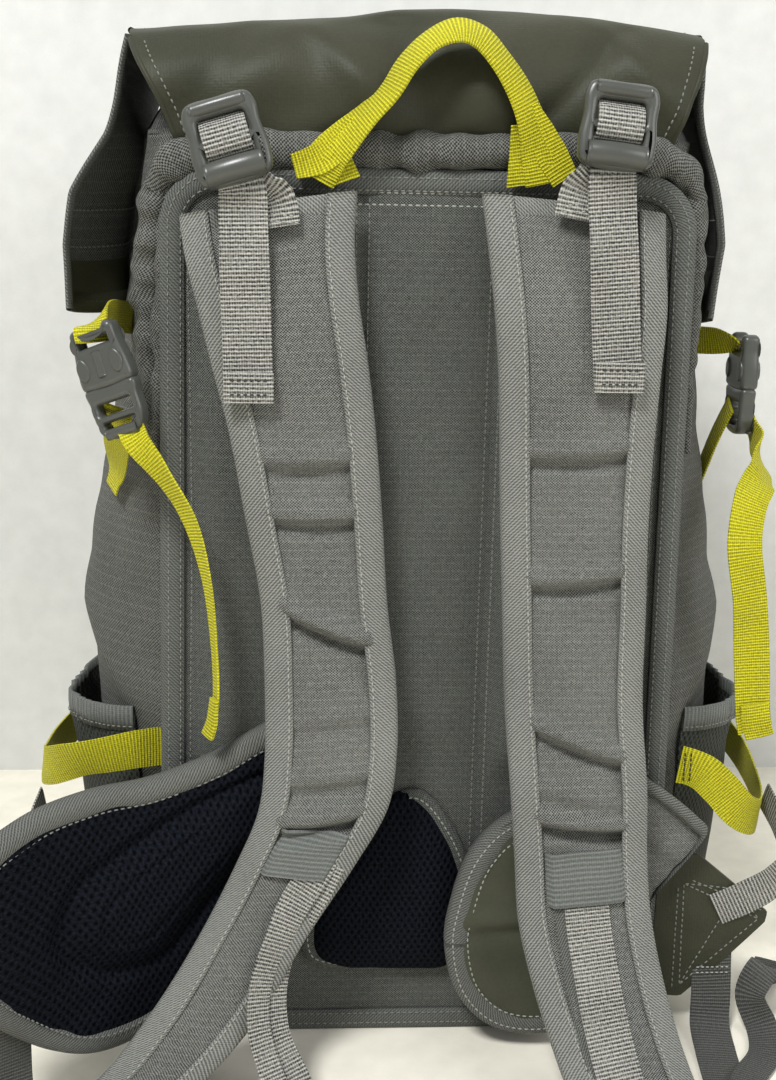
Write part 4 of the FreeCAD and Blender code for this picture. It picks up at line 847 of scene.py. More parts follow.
def make_strap(side, rows, creases):
    """A padded shoulder strap with a crowned, creased face and bound edges."""
    body = f"strap_{side}"
    G = strap_grid(rows)
    nu, nv = G.shape[:2]
    u = np.linspace(-1, 1, nu)[:, None]
    z = G[..., 2]
    length = np.concatenate([[0], np.cumsum(np.linalg.norm(np.diff(G[nu // 2], axis=0), axis=1))])[None]
    crown = 5.6 * (1 - np.abs(u) ** 3.2) ** 0.7
    for height, tilt, deep, wide in creases:
        place = z - height - tilt * u - 3 * u * u
        inside = (1 - 0.45 * np.abs(u)) * (1 - 0.9 * ramp(np.abs(u), 0.66, 0.86))
        crown = crown + 1.3 * inside * deep * (
            0.9 * hump(place, 5.5, 6) - 1.5 * hump(place, -1.5, 2.4 + 0.2 * wide)
            - 0.35 * hump(place, -12, 10))
    crown = crown + 0.5 * ripple(length, u * 40, 31 if side == "left" else 37, 42)
    ends = ramp(np.arange(nv)[None], 0, 7) * (1 - ramp(np.arange(nv)[None], nv - 8, nv - 1))
    crown = (0.8 + (crown - 0.8) * (0.3 + 0.7 * ends)) * MM
    under = (0.8 + 3.6 * (1 - np.abs(u) ** 3) * ends) * MM
    Gm = G * MM
    if normals_of(Gm)[nu // 2, 40, 1] > 0:
        Gm, crown, under = Gm[::-1], crown[::-1], under[::-1]
    pad = slab(f"{body}_pad", Gm, crown, under, "strap", body,
               replaces=(f"shoulder_strap_{side}",), sharp=False)
    N = normals_of(Gm)
    for edge, inward in ((0, 1), (nu - 1, -1)):
        path = Gm[edge]
        out = unit(Gm[edge] - Gm[edge + 2 * inward])
        up = N[edge]
        fat = [(2.4, 0), (1.9, 2.4), (0, 3.7), (-4, 4.8), (-9.5, 6.0), (-11.4, 6.0), (-11.6, 4.9), (-8, 3.5),
               (-8, -3.0), (-10.2, -4.6), (-5, -4.4), (0, -3.2), (1.9, -2.0)]
        sweep(f"{body}_binding_{'a' if edge == 0 else 'b'}", path, out, up, fat, "twill", body)
        line = path - out * 9.6 * MM + up * 6.25 * MM
        stitch(line[2:-2], up[2:-2], body, "thread_light")
    # Cross tape that closes the strap's top end.
    top = Gm[:, 1] + N[:, 1] * (0.6 + crown[:, 1] / MM)[:, None] * MM
    down = unit(Gm[:, 4] - Gm[:, 1])
    sweep(f"{body}_top_tape", top, down, N[:, 1], [(-2, -3), (-2.4, 0.4), (-1, 1.2), (9, 1.2), (9.6, 0),
                                                   (6, -1.2)], "twill", body)
    return pad, Gm, N, crown


strap_left, grid_left, normal_left, crown_left = make_strap("left", LEFT_STRAP, LEFT_CREASES)
strap_right, grid_right, normal_right, crown_right = make_strap("right", RIGHT_STRAP, RIGHT_CREASES)


# ---------------------------------------------------------------- lid
LID_PROFILE = [(-77.0, 464), (-82.5, 472), (-86.5, 483), (-87.5, 496), (-83.0, 509), (-73.0, 520.5),
               (-60.0, 528.2), (-30.0, 531.5), (18.0, 532.5), (62, 525), (92, 514.5), (97.5, 511)]
FOLD_LOW, FOLD_HIGH = 47, 56  # rows of the sheet, between which it folds


def lid_edge(z, y):
    """Left and right edge of the lid sheet: the seam's slant on the rear panel, then the top's edges."""
    rise = np.clip((z - 466) / 60, 0, 1)
    on_top = ramp(y, -66, -58)
    return (-118 - 24 * rise) - on_top * 0.5, (111 + 19 * rise) + on_top * 0.5


def lid_droop(x, y):
    """How far the lid's top falls towards its side edges, above the folded corners and not at the front."""
    fall = np.interp(x, [-144, -86, -16, 63, 100, 127, 132], [9.5, 4, 0, 0, 2.5, 5, 6])
    return fall * (1 - ramp(y, 40, 92))


def make_lid():
    """One sheet that rises behind the bag, folds and lies over its top."""
    S = spline([(0, y, z) for y, z in LID_PROFILE], 120)
    left, right = lid_edge(S[:, 2], S[:, 1])
    u = np.linspace(0, 1, 101)[:, None]
    X = left[None] * (1 - u) + right[None] * u
    Y = np.repeat(S[None, :, 1], len(u), 0)
    Z = np.repeat(S[None, :, 2], len(u), 0)
    rear = 1 - ramp(Y, -72, -60)
    wave = 1.5 * ripple(X, Y + Z, 12, 130) + 0.5 * ripple(X, Y + Z, 14, 45)
    droop = 2.4 * hump(X, -60, 48) * ramp(Y, -66, -30) + 2.8 * hump(X, 82, 30) * ramp(Y, -60, -20)
    Z = Z + wave * 0.8 * (1 - rear) - droop * (1 - ramp(Y, 60, 95)) + 1.6 * np.sin(X / 47 + 1) * (1 - rear)
    Z = Z - lid_droop(X, Y) * ramp(S[None, :, 2], 478, 522)
    sag = hump(X + 0.5 * (Z - 500), -8, 13) - hump(X - 0.4 * (Z - 500), 30, 15)
    sag = sag + 0.8 * hump(X - 0.9 * (Z - 510), 78, 8)
    sag = sag - 0.8 * hump(X + 0.8 * (Z - 505), 96, 9) + 0.7 * hump(X - 0.6 * (Z - 490), -62, 16)
    sag = sag + 0.7 * hump(X - 0.7 * (Z - 495), -104, 12) - 0.6 * hump(X + 0.9 * (Z - 500), -38, 9)
    Y = Y + rear * (wave * 0.8 + 4.2 * sag * ramp(Z, 466, 486))
    Y = Y + rear * 1.2 * np.sin(X / 9.0) * hump(Z, 466, 9)
    G = faced(np.stack([X, Y, Z], 2) * MM, 50, 10, 1, -1)
    cover = slab("lid_cover", G, 0.9 * MM, 0.9 * MM, "olive lining", None,
                 inner=lambda a, b: 1, replaces=("lid_back_panel", "lid_top"))
    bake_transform(cover)
    N = normals_of(G)
    for row in (2, len(u) - 3):
        line, up = G[row] + N[row] * 1.1 * MM, N[row]
        for part, body in ((slice(2, FOLD_LOW - 3), "pack"), (slice(FOLD_HIGH + 2, -3), "lid")):
            stitch(line[part], up[part], body, "thread_grey")
    for edge in (0, len(u) - 1):
        out = unit(G[edge] - G[edge + (2 if edge == 0 else -2)])
        roll = [(0.5 + a, b) for a, b in oval(1.5, 1.6, 8)]
        for part, body in ((slice(FOLD_LOW), "pack"), (slice(FOLD_HIGH, None), "lid")):
            sweep(f"lid_edge_{edge}_{body}", G[edge][part], out[part], N[edge][part], roll, "olive", body)


make_lid()


def make_skirts():
    """The lid's side sheets, which hang open, and its front flap."""
    for side, top_x, low_x in (("left", -143.5, -175), ("right", 130.5, 146)):
        sign = -1 if side == "left" else 1
        v = np.linspace(0, 1, 60)[None]
        y = np.linspace(-62.5, 97, 70)[:, None]
        top_z = np.interp(y, [-62, -30, 18, 62, 97], [525.5, 530, 531, 524, 511]) - lid_droop(top_x, y)
        low_z = 389 + 3 * np.sin(y / 21) + 4 * ramp(y, 40, 95)
        Z = top_z * (1 - v) + low_z * v
        belly = 5.0 * np.sin(math.pi * v) * (1 - ramp(y, -62, -20) * 0.5)
        belly = belly - 9 * hump(v, 0.3, 0.18) * hump(y, -62, 22)
        fold = 2.6 * np.sin(y / 12.5 + 1.5 * np.sin(Z / 25)) * v * (1 - 0.5 * hump(y, -62, 20))
        if side == "left":
            drop = np.interp(v, [0, 0.18, 0.35, 0.565, 0.76, 1], [0, 0.2, 0.4, 0.84, 0.98, 1])
            flare = -20 * ramp(y, -60, -8) * ramp(v, 0.12, 0.5)
        else:
            drop = np.interp(v, [0, 0.22, 0.57, 0.72, 1], [0, 0.2, 0.75, 1, 0.9])
            flare = 6 * ramp(y, -56, -14) * ramp(v, 0.08, 0.4)
        X = top_x + (low_x - top_x) * drop + sign * (belly * 0.5 + fold * 0.6 + flare)
        Y = y + 0 * v + hump(y, -62.5, 18) * (2.5 * np.sin(Z / 15.0) * v)
        G = faced(np.stack([X, Y + 0 * Z, Z], 2) * MM, 35, 30, 0, sign)
        piece = slab(f"lid_skirt_sheet_{side}", G, 0.8 * MM, 0.8 * MM, "olive lining", "lid",
                     inner=lambda a, b: int(b < 0.8), replaces=(f"lid_skirt_{side}",))
        N = normals_of(G)
        for row in (37, 45, 57):
            for face in (-N[1:-1, row], N[1:-1, row]):
                stitch(G[1:-1, row] + face * MM, face, "lid", "thread_grey")
        back_row = 0 if G[0, 0, 1] < G[-1, 0, 1] else len(G) - 1
        out = unit(G[back_row] - G[back_row + (2 if back_row == 0 else -2)])
        hem = [(1.2, 0), (0.8, 1.3), (-3, 1.5), (-9, 1.3), (-9, 0.7), (-9, -0.9), (-3, -1.5), (0.8, -1.3)]
        sweep(f"lid_skirt_hem_{side}", G[back_row], out, N[back_row], hem, "twill_dark", "lid")
        foot = G[:, -1]
        sweep(f"lid_skirt_foot_{side}", foot, unit(foot - G[:, -3]), N[:, -1], hem, "olive", "lid")
    x = np.linspace(-118, 118, 90)[:, None]
    v = np.linspace(0, 1, 40)[None]
    Z = 511 * (1 - v) + 428 * v
    Y = 97.5 - 1.5 * v + 1.2 * np.sin(x / 15 + 2 * v) * v + 3.2 * np.sin(math.pi * v)
    G = faced(np.stack([x + 0 * v, Y + 0 * x, Z + 0 * x], 2) * MM, 40, 20, 1)
    piece = slab("lid_front_flap", G, 0.8 * MM, 0.8 * MM, "olive lining", "lid",
                 inner=lambda a, b: 1, replaces=("lid_front_skirt",))
    N = normals_of(G)
    for row in (2, 34, 37):
        stitch(G[1:-1, row] + N[1:-1, row] * MM, N[1:-1, row], "lid", "thread_grey")


make_skirts()


# ---------------------------------------------------------------- moulded plastic
def moulded_plate(name, outer, holes, thick, place, body, bevel, replaces=(),
                  material="plastic"):
    """A rounded plate with holes. place is the 4x4 matrix that carries its X, Z face, which looks to -Y."""
    data = bpy.data.curves.new(name, "CURVE")
    data.dimensions = "2D"
    data.fill_mode = "BOTH"
    data.extrude = (thick / 2 - bevel) * MM
    data.bevel_depth = bevel * MM
    data.bevel_resolution = 3
    data.offset = -bevel * MM
    for ring in [outer] + holes:
        line = data.splines.new("POLY")
        line.points.add(len(ring) - 1)
        for point, (a, b) in zip(line.points, ring):
            point.co = (a * MM, b * MM, 0, 1)
        line.use_cyclic_u = True
    carrier = bpy.data.objects.new(name + "_outline", data)
    mesh = bpy.data.meshes.new_from_object(carrier)
    bpy.data.objects.remove(carrier)
    mesh.name = name
    mesh.transform(place @ Matrix.Rotation(math.pi / 2, 4, "X"))
    mesh.materials.clear()
    mesh.materials.append(M[material])
    mesh.polygons.foreach_set("use_smooth", np.ones(len(mesh.polygons), bool))
    mesh.set_sharp_from_angle(angle=math.radians(38))
    adopt(name, mesh, body, replaces)


def rounded(x0, x1, z0, z1, r):
    """Outline of a rounded rectangle, from the lower left round by the right."""
    out = []
    for cx, cz, start in ((x0, z0, 180), (x1, z0, 270), (x1, z1, 0), (x0, z1, 90)):
        mx = cx + (r if cx == x0 else -r)
        mz = cz + (r if cz == z0 else -r)
        for a in np.radians(start + np.linspace(0, 90, 7)):
            out.append((mx + r * math.cos(a), mz + r * math.sin(a)))
    return out


def bar(name, a, b, ra, rb, place, body, bow=0.0):
    """A straight or bowed bar of oval section from a to b in the plate's own millimetres."""
    t = np.linspace(0, 1, 15)[:, None]
    a, b = np.array(a, float), np.array(b, float)
    path = a + (b - a) * t + np.array([[0, -bow, 0]]) * 4 * t * (1 - t)
    path = np.array([place @ Vector(p * MM) for p in path])
    up = every(np.array(place.to_3x3()) @ HARNESS, 15)
    out = unit(np.cross(unit(np.gradient(path, axis=0)), up))
    sweep(name, path, out, up, oval(ra, rb, 12), "plastic", body)


def at(middle, roll=0.0, yaw=0.0, tip=0.0):
    """Carries a plate to its middle, rolled about Y, tipped about X and turned about Z, in degrees."""
    return (Matrix.Translation(Vector(middle) * MM) @ Matrix.Rotation(math.radians(yaw), 4, "Z")
            @ Matrix.Rotation(math.radians(roll), 4, "Y") @ Matrix.Rotation(math.radians(tip), 4, "X"))


def ladder_lock(name, place, body, node):
    """A buckle with two windows, a thumb lip at its foot and two bars."""
    outer = loop([(-15.5, -17), (-17.6, -8), (-16.6, 4), (-16.8, 13), (-14, 18), (0, 18.8),
                  (14, 18), (16.8, 13), (16.6, 4), (17.6, -8), (15.5, -17), (0, -19.5)], 110)
    windows = [rounded(-11.0, 11.0, -0.4, 11.0, 2.6), rounded(-11.0, 11.0, -10.2, -1.2, 2.2)]
    moulded_plate(name, outer, windows, 7.4, place, body, bevel=2.6, replaces=(node,))
    bar(name + "_lip", (-13.6, -1.8, -13.2), (13.6, -1.8, -13.2), 5.4, 5.0, place, body, bow=1.8)
    bar(name + "_crossbar", (-13, -0.8, -0.8), (13, -0.8, -0.8), 2.2, 2.4, place, body)
    bar(name + "_brow", (-12.5, -1.2, 15.2), (12.5, -1.2, 15.2), 3.4, 3.6, place, body, bow=0.8)


# The load lifters' buckles: each one's place, and the height of its middle.
LOCKS = {"left": (at((-94, -116, 467), roll=-17, tip=-9), 467),
         "right": (at((80, -116, 477), roll=6, tip=-9), 477)}


def make_lifters():
    """Load lifters: a buckle, webbing through it and down the strap, and a short anchor."""
    for side, (place, cz) in LOCKS.items():
        body = f"load_lifter_{side}"
        ladder_lock(f"lock_{side}", place, body, f"ladder_lock_{side}")
        across = tuple(np.array(place.to_3x3()) @ [1, 0, 0])

        def local(x, y, z):
            return tuple(np.array(place @ (Vector((x, y, z)) * MM)) / MM)
        wrap = [(*local(*p), *across) for p in ((0, 3.4, 13), (0, 0.4, 9.5), (0, -3.6, 5.6), (0, -4.9, 0.6),
                                                (0, -3.8, -4.4), (0, 0.4, -8.5), (0.2, 3.0, -15))]
        low = local(0.4, 2.0, -21)
        end = cz - (115 if side == "left" else 118)
        foot_x = -85.0 if side == "left" else 87.0

        def down(share, y, lean_y=0.0):
            return low[0] + (foot_x - low[0]) * share, y, low[2] + (end - low[2]) * share, 1, lean_y, 0
        run = [(*low, 1, 0, 0), down(0.12, -115.6), down(0.35, -117.4, 0.05), down(0.65, -116.2, -0.04),
               down(0.93, -116.8), down(1.0, -117.4)]
        web(f"lifter_webbing_{side}", wrap + run, [21] * 6 + [22] * 2 + [22.6] * 5, "web", body, thick=1.7,
            replaces=(f"lifter_web_{side}",), count=110, cup=0.25)
        web(f"lifter_end_fold_{side}", [(foot_x, -118.9, end + 13, 1, 0, 0),
                                        (foot_x, -119.1, end + 4, 1, 0, 0),
                                        (foot_x, -118.6, end - 0.8, 1, 0, 0)], 22.9, "web", body, thick=1.7)
        for dz in (3.0, 9.5):
            tack([(foot_x + x, -120.1, end + dz) for x in np.linspace(-9, 9, 8)], body, "thread_dark",
                 pitch=2.6, size=2.0)
        sign = 1 if side == "left" else -1
        seat = (-72.0, 430.0) if side == "left" else (64.0, 436.0)
        reach = [(*local(sign * 2, 3.4, -12), *across), (*local(sign * 5, 5.0, -22), *across),
                 (seat[0] - sign * 3, -111.4, seat[1] + 13, 1, 0, -0.12 * sign),
                 (seat[0], -112.8, seat[1], 1, 0, -0.12 * sign)]
        anchor = web(f"lifter_anchor_webbing_{side}", reach, 21, "web", f"strap_{side}",
                     thick=1.7, replaces=(f"lifter_anchor_{side}",))
        for dz in (0.0, 3.0):
            seam(anchor, [(seat[0] - 10, 0, seat[1] + 3 + dz), (seat[0] + 10, 0, seat[1] + 3 + dz - sign)],
                 f"strap_{side}", pitch=2.6, size=2.0, step=2.0)


make_lifters()


def make_handle():
    """The lime grab handle and the folds of webbing at its feet."""
    stations = [(-55, -93.4, 452, 0.75, 0, -0.6), (-50, -94.5, 461, 0.8, -0.2, -0.5),
                (-42, -96, 470, 0.7, -0.55, -0.4), (-32, -97.5, 480, 0.5, -0.8, -0.3),
                (-22, -98.5, 490, 0.42, -0.86, -0.25), (-13.5, -99, 503, 0.4, -0.87, -0.3),
                (-3, -99, 513, 0.25, -0.85, -0.45), (9, -99, 517.5, 0.05, -0.78, -0.62),
                (19, -98.5, 514.5, -0.3, -0.75, -0.55), (28.5, -98, 505, -0.5, -0.75, -0.35),
                (37.5, -97, 492.5, -0.6, -0.7, -0.35), (44, -96, 479, -0.75, -0.6, -0.25),
                (49, -94.4, 465, -0.95, -0.1, -0.2), (52, -93, 452, -0.97, 0, -0.1)]
    arch = web("handle_webbing", stations, 18.5, "lime", None, thick=1.8,
               replaces=("grab_handle",), cup=0.9)
    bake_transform(arch)
    folds = [("left_outer", [(-36, -97, 477, 0.3, -0.3, -0.9), (-44, -97, 468, 0.3, -0.2, -0.93),
                             (-54, -96, 460.5, 0.15, 0, -0.98), (-65, -94.8, 457, 0.05, 0, -1)],
              [8, 14, 14, 11]),
             ("left_inner", [(-48, -94.6, 468, 0.8, 0, 0.6), (-44, -95, 459, 0.9, 0, 0.35),
                             (-41, -94.4, 451, 0.95, 0, 0.1)], [8, 12, 14]),
             ("right_outer", [(43, -96.8, 486, 0.75, 0.1, 0.5), (48, -96.6, 476, 0.85, 0, 0.4),
                              (54, -95.8, 465, 0.85, 0, 0.45), (61, -94.8, 454, 0.75, 0, 0.6)],
              [7, 12, 15, 13]),
             ("right_inner", [(38, -94.8, 478, 0.9, 0, 0.2), (40, -94.4, 466, 0.95, 0, 0.1),
                              (42, -93.6, 451, 0.97, 0, 0)], [6, 11, 16])]
    for name, run, width in folds:
        web(f"handle_fold_{name}", run, width, "lime", "pack", thick=1.7, cup=1.2)


make_handle()


def make_side_buckles():
    """Side release buckles: a socket with its ears, and a plug with three prongs."""
    for side, middle, yaw, roll in (("left", (-150, -101, 357), -25, -20), ("right", (177, -22, 350), 90, 0)):
        place = at(middle, roll, yaw)
        plug_body = f"side_plug_{side}"
        outer = loop([(-14, 0), (-14.3, 9), (-12.5, 20), (-12, 27), (-8, 28.5), (-5, 25.5), (0, 24.4),
                      (5, 25.5), (8, 28.5), (12, 27), (12.5, 20), (14.3, 9), (14, 0), (9, -1.2), (0, -1.6),
                      (-9, -1.2)], 90)
        moulded_plate(f"side_socket_{side}", outer, [rounded(-9.6, 9.6, 19.0, 22.2, 1.4)], 9.6, place, "pack",
                      bevel=3.0, replaces=("side_buckle_sockets",))
        for x in (-9.6, 9.6):
            ear = loop([(x - 3, 6), (x, 3.5), (x + 3, 6), (x + 3, 12), (x, 15), (x - 3, 12)], 40)
            moulded_plate(f"side_socket_ear_{side}_{'a' if x < 0 else 'b'}", ear, [], 11.2, place, "pack",
                          bevel=1.2)
        bar(f"side_socket_rib_{side}", (0, -4.6, 4), (0, -4.6, 16), 2.4, 1.1, place, "pack")
        plug = loop([(-14, -0.6), (-13.6, -8), (-13.2, -17), (-9, -24), (0, -26), (9, -24),
                     (13.2, -17), (13.6, -8), (14, -0.6), (0, -0.4)], 90)
        moulded_plate(f"side_plug_{side}_plate", plug,
                      [rounded(-10, 10, -13.6, -8.2, 1.8), rounded(-9.2, 9.2, -20.6, -17.2, 1.4)], 8.6, place,
                      plug_body, bevel=2.6, replaces=(f"side_buckle_plug_{side}",))
        bar(f"side_plug_{side}_lip", (-9, -3.0, -22.6), (9, -3.0, -22.6), 2.6, 2.4, place, plug_body,
            bow=0.8)
        for x in (-10.2, 0, 10.2):
            bar(f"side_plug_{side}_prong_{'lmr'[int(x / 10) + 1]}", (x, 0, -2), (x, 0, 14), 1.8, 2.2, place,
                plug_body)


def make_side_tails():
    """Lime tails from the side buckles down to their loose ends."""
    left = [(-141, -108.5, 338, 0.9, -0.35, -0.2), (-137, -113, 331, 0.88, -0.4, -0.2),
            (-128, -117, 320, 0.8, -0.4, -0.35), (-114, -117.5, 297, 0.72, -0.55, -0.35),
            (-106, -117, 268, 0.55, -0.8, -0.1), (-102.5, -116.5, 232, 0.4, -0.9, 0),
            (-102, -116.5, 205, 0.35, -0.92, 0), (-104, -117, 191, 0.3, -0.95, 0)]
    web("side_tail_left", left, [13, 13, 12, 10.5, 8.5, 7.5, 7.5, 8], "lime", "side_plug_left",
        replaces=("side_strap_tail_left",), cup=0.8)
    web("side_tail_left_end", [(-102.6, -118.6, 206, 0.4, -0.9, 0), (-103.8, -119.4, 194, 0.6, -0.75, 0.2),
                               (-106, -119, 187, 0.7, -0.6, 0.3)], 8, "lime", "side_plug_left", thick=2.6)
    right = [(182.5, -22, 333, 0, 1, 0), (184.5, -32, 322, -0.05, 0.95, 0.3),
             (182, -52, 308, 0.45, 0.8, 0.35), (172, -68, 296, 0.9, 0.35, 0.3),
             (168, -76, 276, 0.97, 0.12, 0.2), (173, -78, 244, 0.98, 0.1, 0.1),
             (177, -77, 212, 0.96, -0.1, 0), (180, -78, 182, 0.97, 0, 0), (182, -78, 172, 0.98, 0, -0.1)]
    web("side_tail_right", right, 18.5, "lime", "side_plug_right",
        replaces=("side_strap_tail_right",), cup=0.6)
    web("side_tail_right_end", [(179.5, -80, 188, 0.97, 0, 0), (181, -80.6, 179, 0.9, -0.2, -0.3),
                                (184, -80, 170, 0.85, 0, -0.5)], 15, "lime", "side_plug_right", thick=2.6)


def make_side_webs():
    """Lime compression webbing round the bag's sides."""
    for name, width, run in (
            ("upper_left", 16, [(-146.6, -22, 380, 0, 0.2, 1), (-150, -50, 384, 0.1, 0.2, 1),
                                (-157, -80, 386, 0.5, 0.3, 0.8), (-160, -94, 382, 0.9, 0.3, 0.3),
                                (-158.5, -98, 376, 0.9, 0.35, 0.1)]),
            ("upper_right", 15, [(150, 6, 372, 0, 0, 1), (160, -6, 373, 0, -0.2, 1),
                                 (171, -20, 373, 0, -0.9, 0.4), (174, -22, 371, 0, -1, 0.1)]),
            ("load_left", 15, [(-148, -99, 345, 0.8, -0.4, 0), (-152, -78, 326, 0.7, -0.6, 0),
                               (-157, -52, 304, 0.5, -0.85, 0), (-159.5, -49.5, 296, 0.5, -0.85, 0)]),
            ("load_right", 16, [(172, -22, 340, 0, 1, 0), (167.5, -14, 322, 0, 1, 0),
                                (162.5, -6, 298, 0, 1, 0)]),
            ("lower_left", 21, [(-133, -69, 161, 0, 0.1, 1), (-148, -74.5, 161, 0, 0, 1),
                                (-162, -76.5, 159, 0, -0.15, 1), (-180, -74, 155, 0.1, -0.3, 1),
                                (-196, -60, 146, 0.1, -0.2, 1), (-203, -34, 138, 0.15, 0, 1),
                                (-201, 8, 134, 0, 0, 1), (-190, 40, 137, 0, 0, 1),
                                (-175, 52, 138, 0, 0, 1), (-171, 58, 138, 0, 0, 1)]),
            ("lower_right", 21, [(144, -73, 151, 0, 0.1, 1), (150, -75, 150, 0, 0, 1),
                                 (157, -76.5, 147, 0.1, 0, 1), (166, -78, 139, 0.6, 0, 0.8),
                                 (178, -78, 126, 0.7, 0.1, 0.7), (192, -66, 117, 0.3, 0.3, 0.9),
                                 (200, -40, 120, 0, 0.1, 1), (200, 0, 130, 0, 0, 1),
                                 (190, 40, 137, 0, 0, 1), (175, 52, 138, 0, 0, 1),
                                 (171, 58, 138, 0, 0, 1)])):
        web(f"lime_web_{name}", run, width, "lime", "pack", replaces=("side_webs",), cup=0.3)
    for dx in (0, 3.2):
        tack([(146.0 + dx, -75.4 - dx * 0.16, z) for z in np.linspace(142, 159, 7)], "pack", "thread_dark",
             pitch=2.6)


make_side_buckles()
make_side_tails()
make_side_webs()


# ---------------------------------------------------------------- keepers and tails on the straps
def keeper(side, G, N, crown, z_low, z_high, span, slant):
    """Elastic band across a strap's crown. span says which share of the strap's width it covers."""
    nu = G.shape[0]
    body = f"strap_{side}"
    face = G + N * (crown + 1.3 * MM)[..., None]
    columns = [i for i in range(nu) if span[0] <= i / (nu - 1) <= span[1]]
    rows = []
    for i in columns:
        z = face[i, :, 2] / MM
        shift = slant * (i / (nu - 1) - 0.5)
        heights = np.linspace(z_high + shift, z_low + shift, 10)
        order = np.argsort(z)
        rows.append(np.stack([np.interp(heights, z[order], face[i, order, c]) for c in range(3)], 1))
    K = np.stack(rows, 0)
    K[:, :, 1] -= 1.6 * MM
    K[0, :, 1] += 2.6 * MM
    K[-1, :, 1] += 2.6 * MM
    K = faced(K, len(K) // 2, 4, 1, -1)
    slab(f"keeper_band_{side}", K, 0.8 * MM, 0.8 * MM, "elastic", body,
         replaces=(f"strap_keeper_{side}",))


keeper("left", grid_left, normal_left, crown_left, 119, 140, (0.15, 0.82), 5)
keeper("right", grid_right, normal_right, crown_right, 103, 128, (0.15, 0.82), -5)


def resting(pad, points, lift):
    """Stations of x, z and direction, laid on a pad's front with a lift in millimetres."""
    found, _ = land(pad, [(x, 0, z) for x, z, _ in points], (0, 1, 0), lift)
    return [(x, y / MM, z, *across) for (x, z, across), y in zip(points, found[:, 1])]


def make_strap_tails():
    """Webbing that runs out of the keepers, with folds of cloth beneath."""
    lean = (1, 0, 0.05)
    right = resting(strap_right, [(82, 116, lean), (83, 104, lean), (84.5, 90, lean), (87, 74, lean),
                                  (90, 56, lean), (94, 38, lean), (98, 24, lean)], 1.6)
    web("tail_right", right + [(102, -199, 14, 1, 0, 0)], 22.5, "web", "strap_right",
        replaces=("strap_tail_right",), cup=0.4)
    for k, dx in enumerate((0, 6.5)):
        pleat = resting(strap_right, [(68 + dx, 112, lean), (69.5 + dx, 98, lean), (72 + dx, 82, lean),
                                      (75 + dx, 64, lean), (79 + dx, 46, lean), (84 + dx, 30, lean)], 0.9)
        web(f"strap_pleat_right_{k}", pleat, 5.4, "twill_dark", "strap_right", thick=1.4, cup=1.4)
    tilt = (0.85, -0.1, -0.5)
    left = resting(strap_left, [(-50, 128, tilt), (-56, 117, tilt), (-63, 106, tilt)], 1.7)
    left += [(-71, -143, 90, 0.82, 0.3, -0.45), (-79, -149, 70, 0.85, 0.45, -0.1),
             (-80, -155, 50, 0.86, 0.4, 0.15), (-74, -163, 30, 0.9, 0.2, 0.3),
             (-64, -176, 10, 0.97, 0, 0.05), (-68, -200, 4.2, 0.9, 0.4, 0), (-98, -220, 3.6, 0.4, 0.9, 0),
             (-138, -212, 7, 0, 1, 0)]
    web("tail_left", left, [17, 16, 15, 12.5, 11.5, 11.5, 12, 14, 15, 15, 15], "web", "strap_left",
        replaces=("strap_tail_left",), cup=0.4)
    under = resting(strap_left, [(-44, 124, tilt), (-50, 112, tilt), (-57, 100, tilt)], 0.9)
    under += [(-65, -138, 84, 0.8, 0.5, -0.3), (-71, -144, 64, 0.85, 0.45, 0),
              (-70, -151, 44, 0.9, 0.3, 0.2), (-60, -160, 22, 0.9, 0.2, 0.3), (-52, -172, 4, 0.95, 0, 0.2)]
    web("tail_left_under", under, [12, 12, 11, 10, 10, 10, 12, 13], "web", "strap_left", cup=0.4)


make_strap_tails()


# ---------------------------------------------------------------- lumbar pad, hip fins and wings
def flat_place(y):
    """For patch: an upright face at that depth."""
    return lambda a, b: np.stack([a, np.full_like(a, y), b], 1)


def border(name, outline, place, inside, width, body, material, proud, rows):
    """Twill tape bound over a pad's edge. proud is how far it stands off the face, inside how far it reaches
    behind it, and rows how far the rows of stitches lie from its edge."""
    O = np.asarray(outline, float)
    P = place(O[:, 0], O[:, 1])
    N = unit(np.cross(place(O[:, 0] + 0.5, O[:, 1]) - P, place(O[:, 0], O[:, 1] + 0.5) - P))
    out = unit(np.cross(tangents(P), N))
    if ((P - P.mean(0)) * out).sum() < 0:
        out = -out
    tape = [(-width, 0.8), (-width + 0.6, proud), (-width * 0.5, proud + 1.0), (-1.5, proud + 0.6),
            (1.0, proud - 0.9), (1.7, -inside * 0.4), (1.0, -inside), (-2, -inside - 0.9),
            (-5, -inside - 0.9), (-4, -inside), (0, -inside * 0.5), (-1, 0.4)]
    piece = sweep(name, P * MM, out, N, tape, material, body, closed=True)
    for inset in rows:
        line = (P - out * inset + N * (proud + 0.95)) * MM
        stitch(closed(line), closed(N), body, "thread_light")
    return piece


def make_lumbar():
    """The mesh pad at the small of the back."""
    outline = loop([(-54, 66), (-51, 46), (-36, 40), (-10, 39), (18, 40), (27, 48), (26, 90),
                    (14, 122), (-2, 141), (-12, 141), (-34, 112), (-50, 87)], 120)
    pad = patch("lumbar_mesh", outline, flat_place(-88.5),
                lambda a, b, r: 8.6 * (1 - r**4) ** 0.7 + 0.4 * ripple(a, b, 4, 30), 3.0, "mesh", "pack",
                replaces=("lumbar_pad",))
    ring = outline + 5.0 * np.column_stack([np.sign(outline[:, 0] + 14), np.zeros(len(outline))])
    border("lumbar_surround", ring, flat_place(-87.6), 2.2, 10.5, "pack", "panel",
           proud=1.2, rows=(2.4, 8.6))


FIN_Y = [(-220, -186), (-203, -171), (-178, -142), (-150, -121), (-120, -108), (-90, -101), (-62, -98.5),
         (-50, -98)]


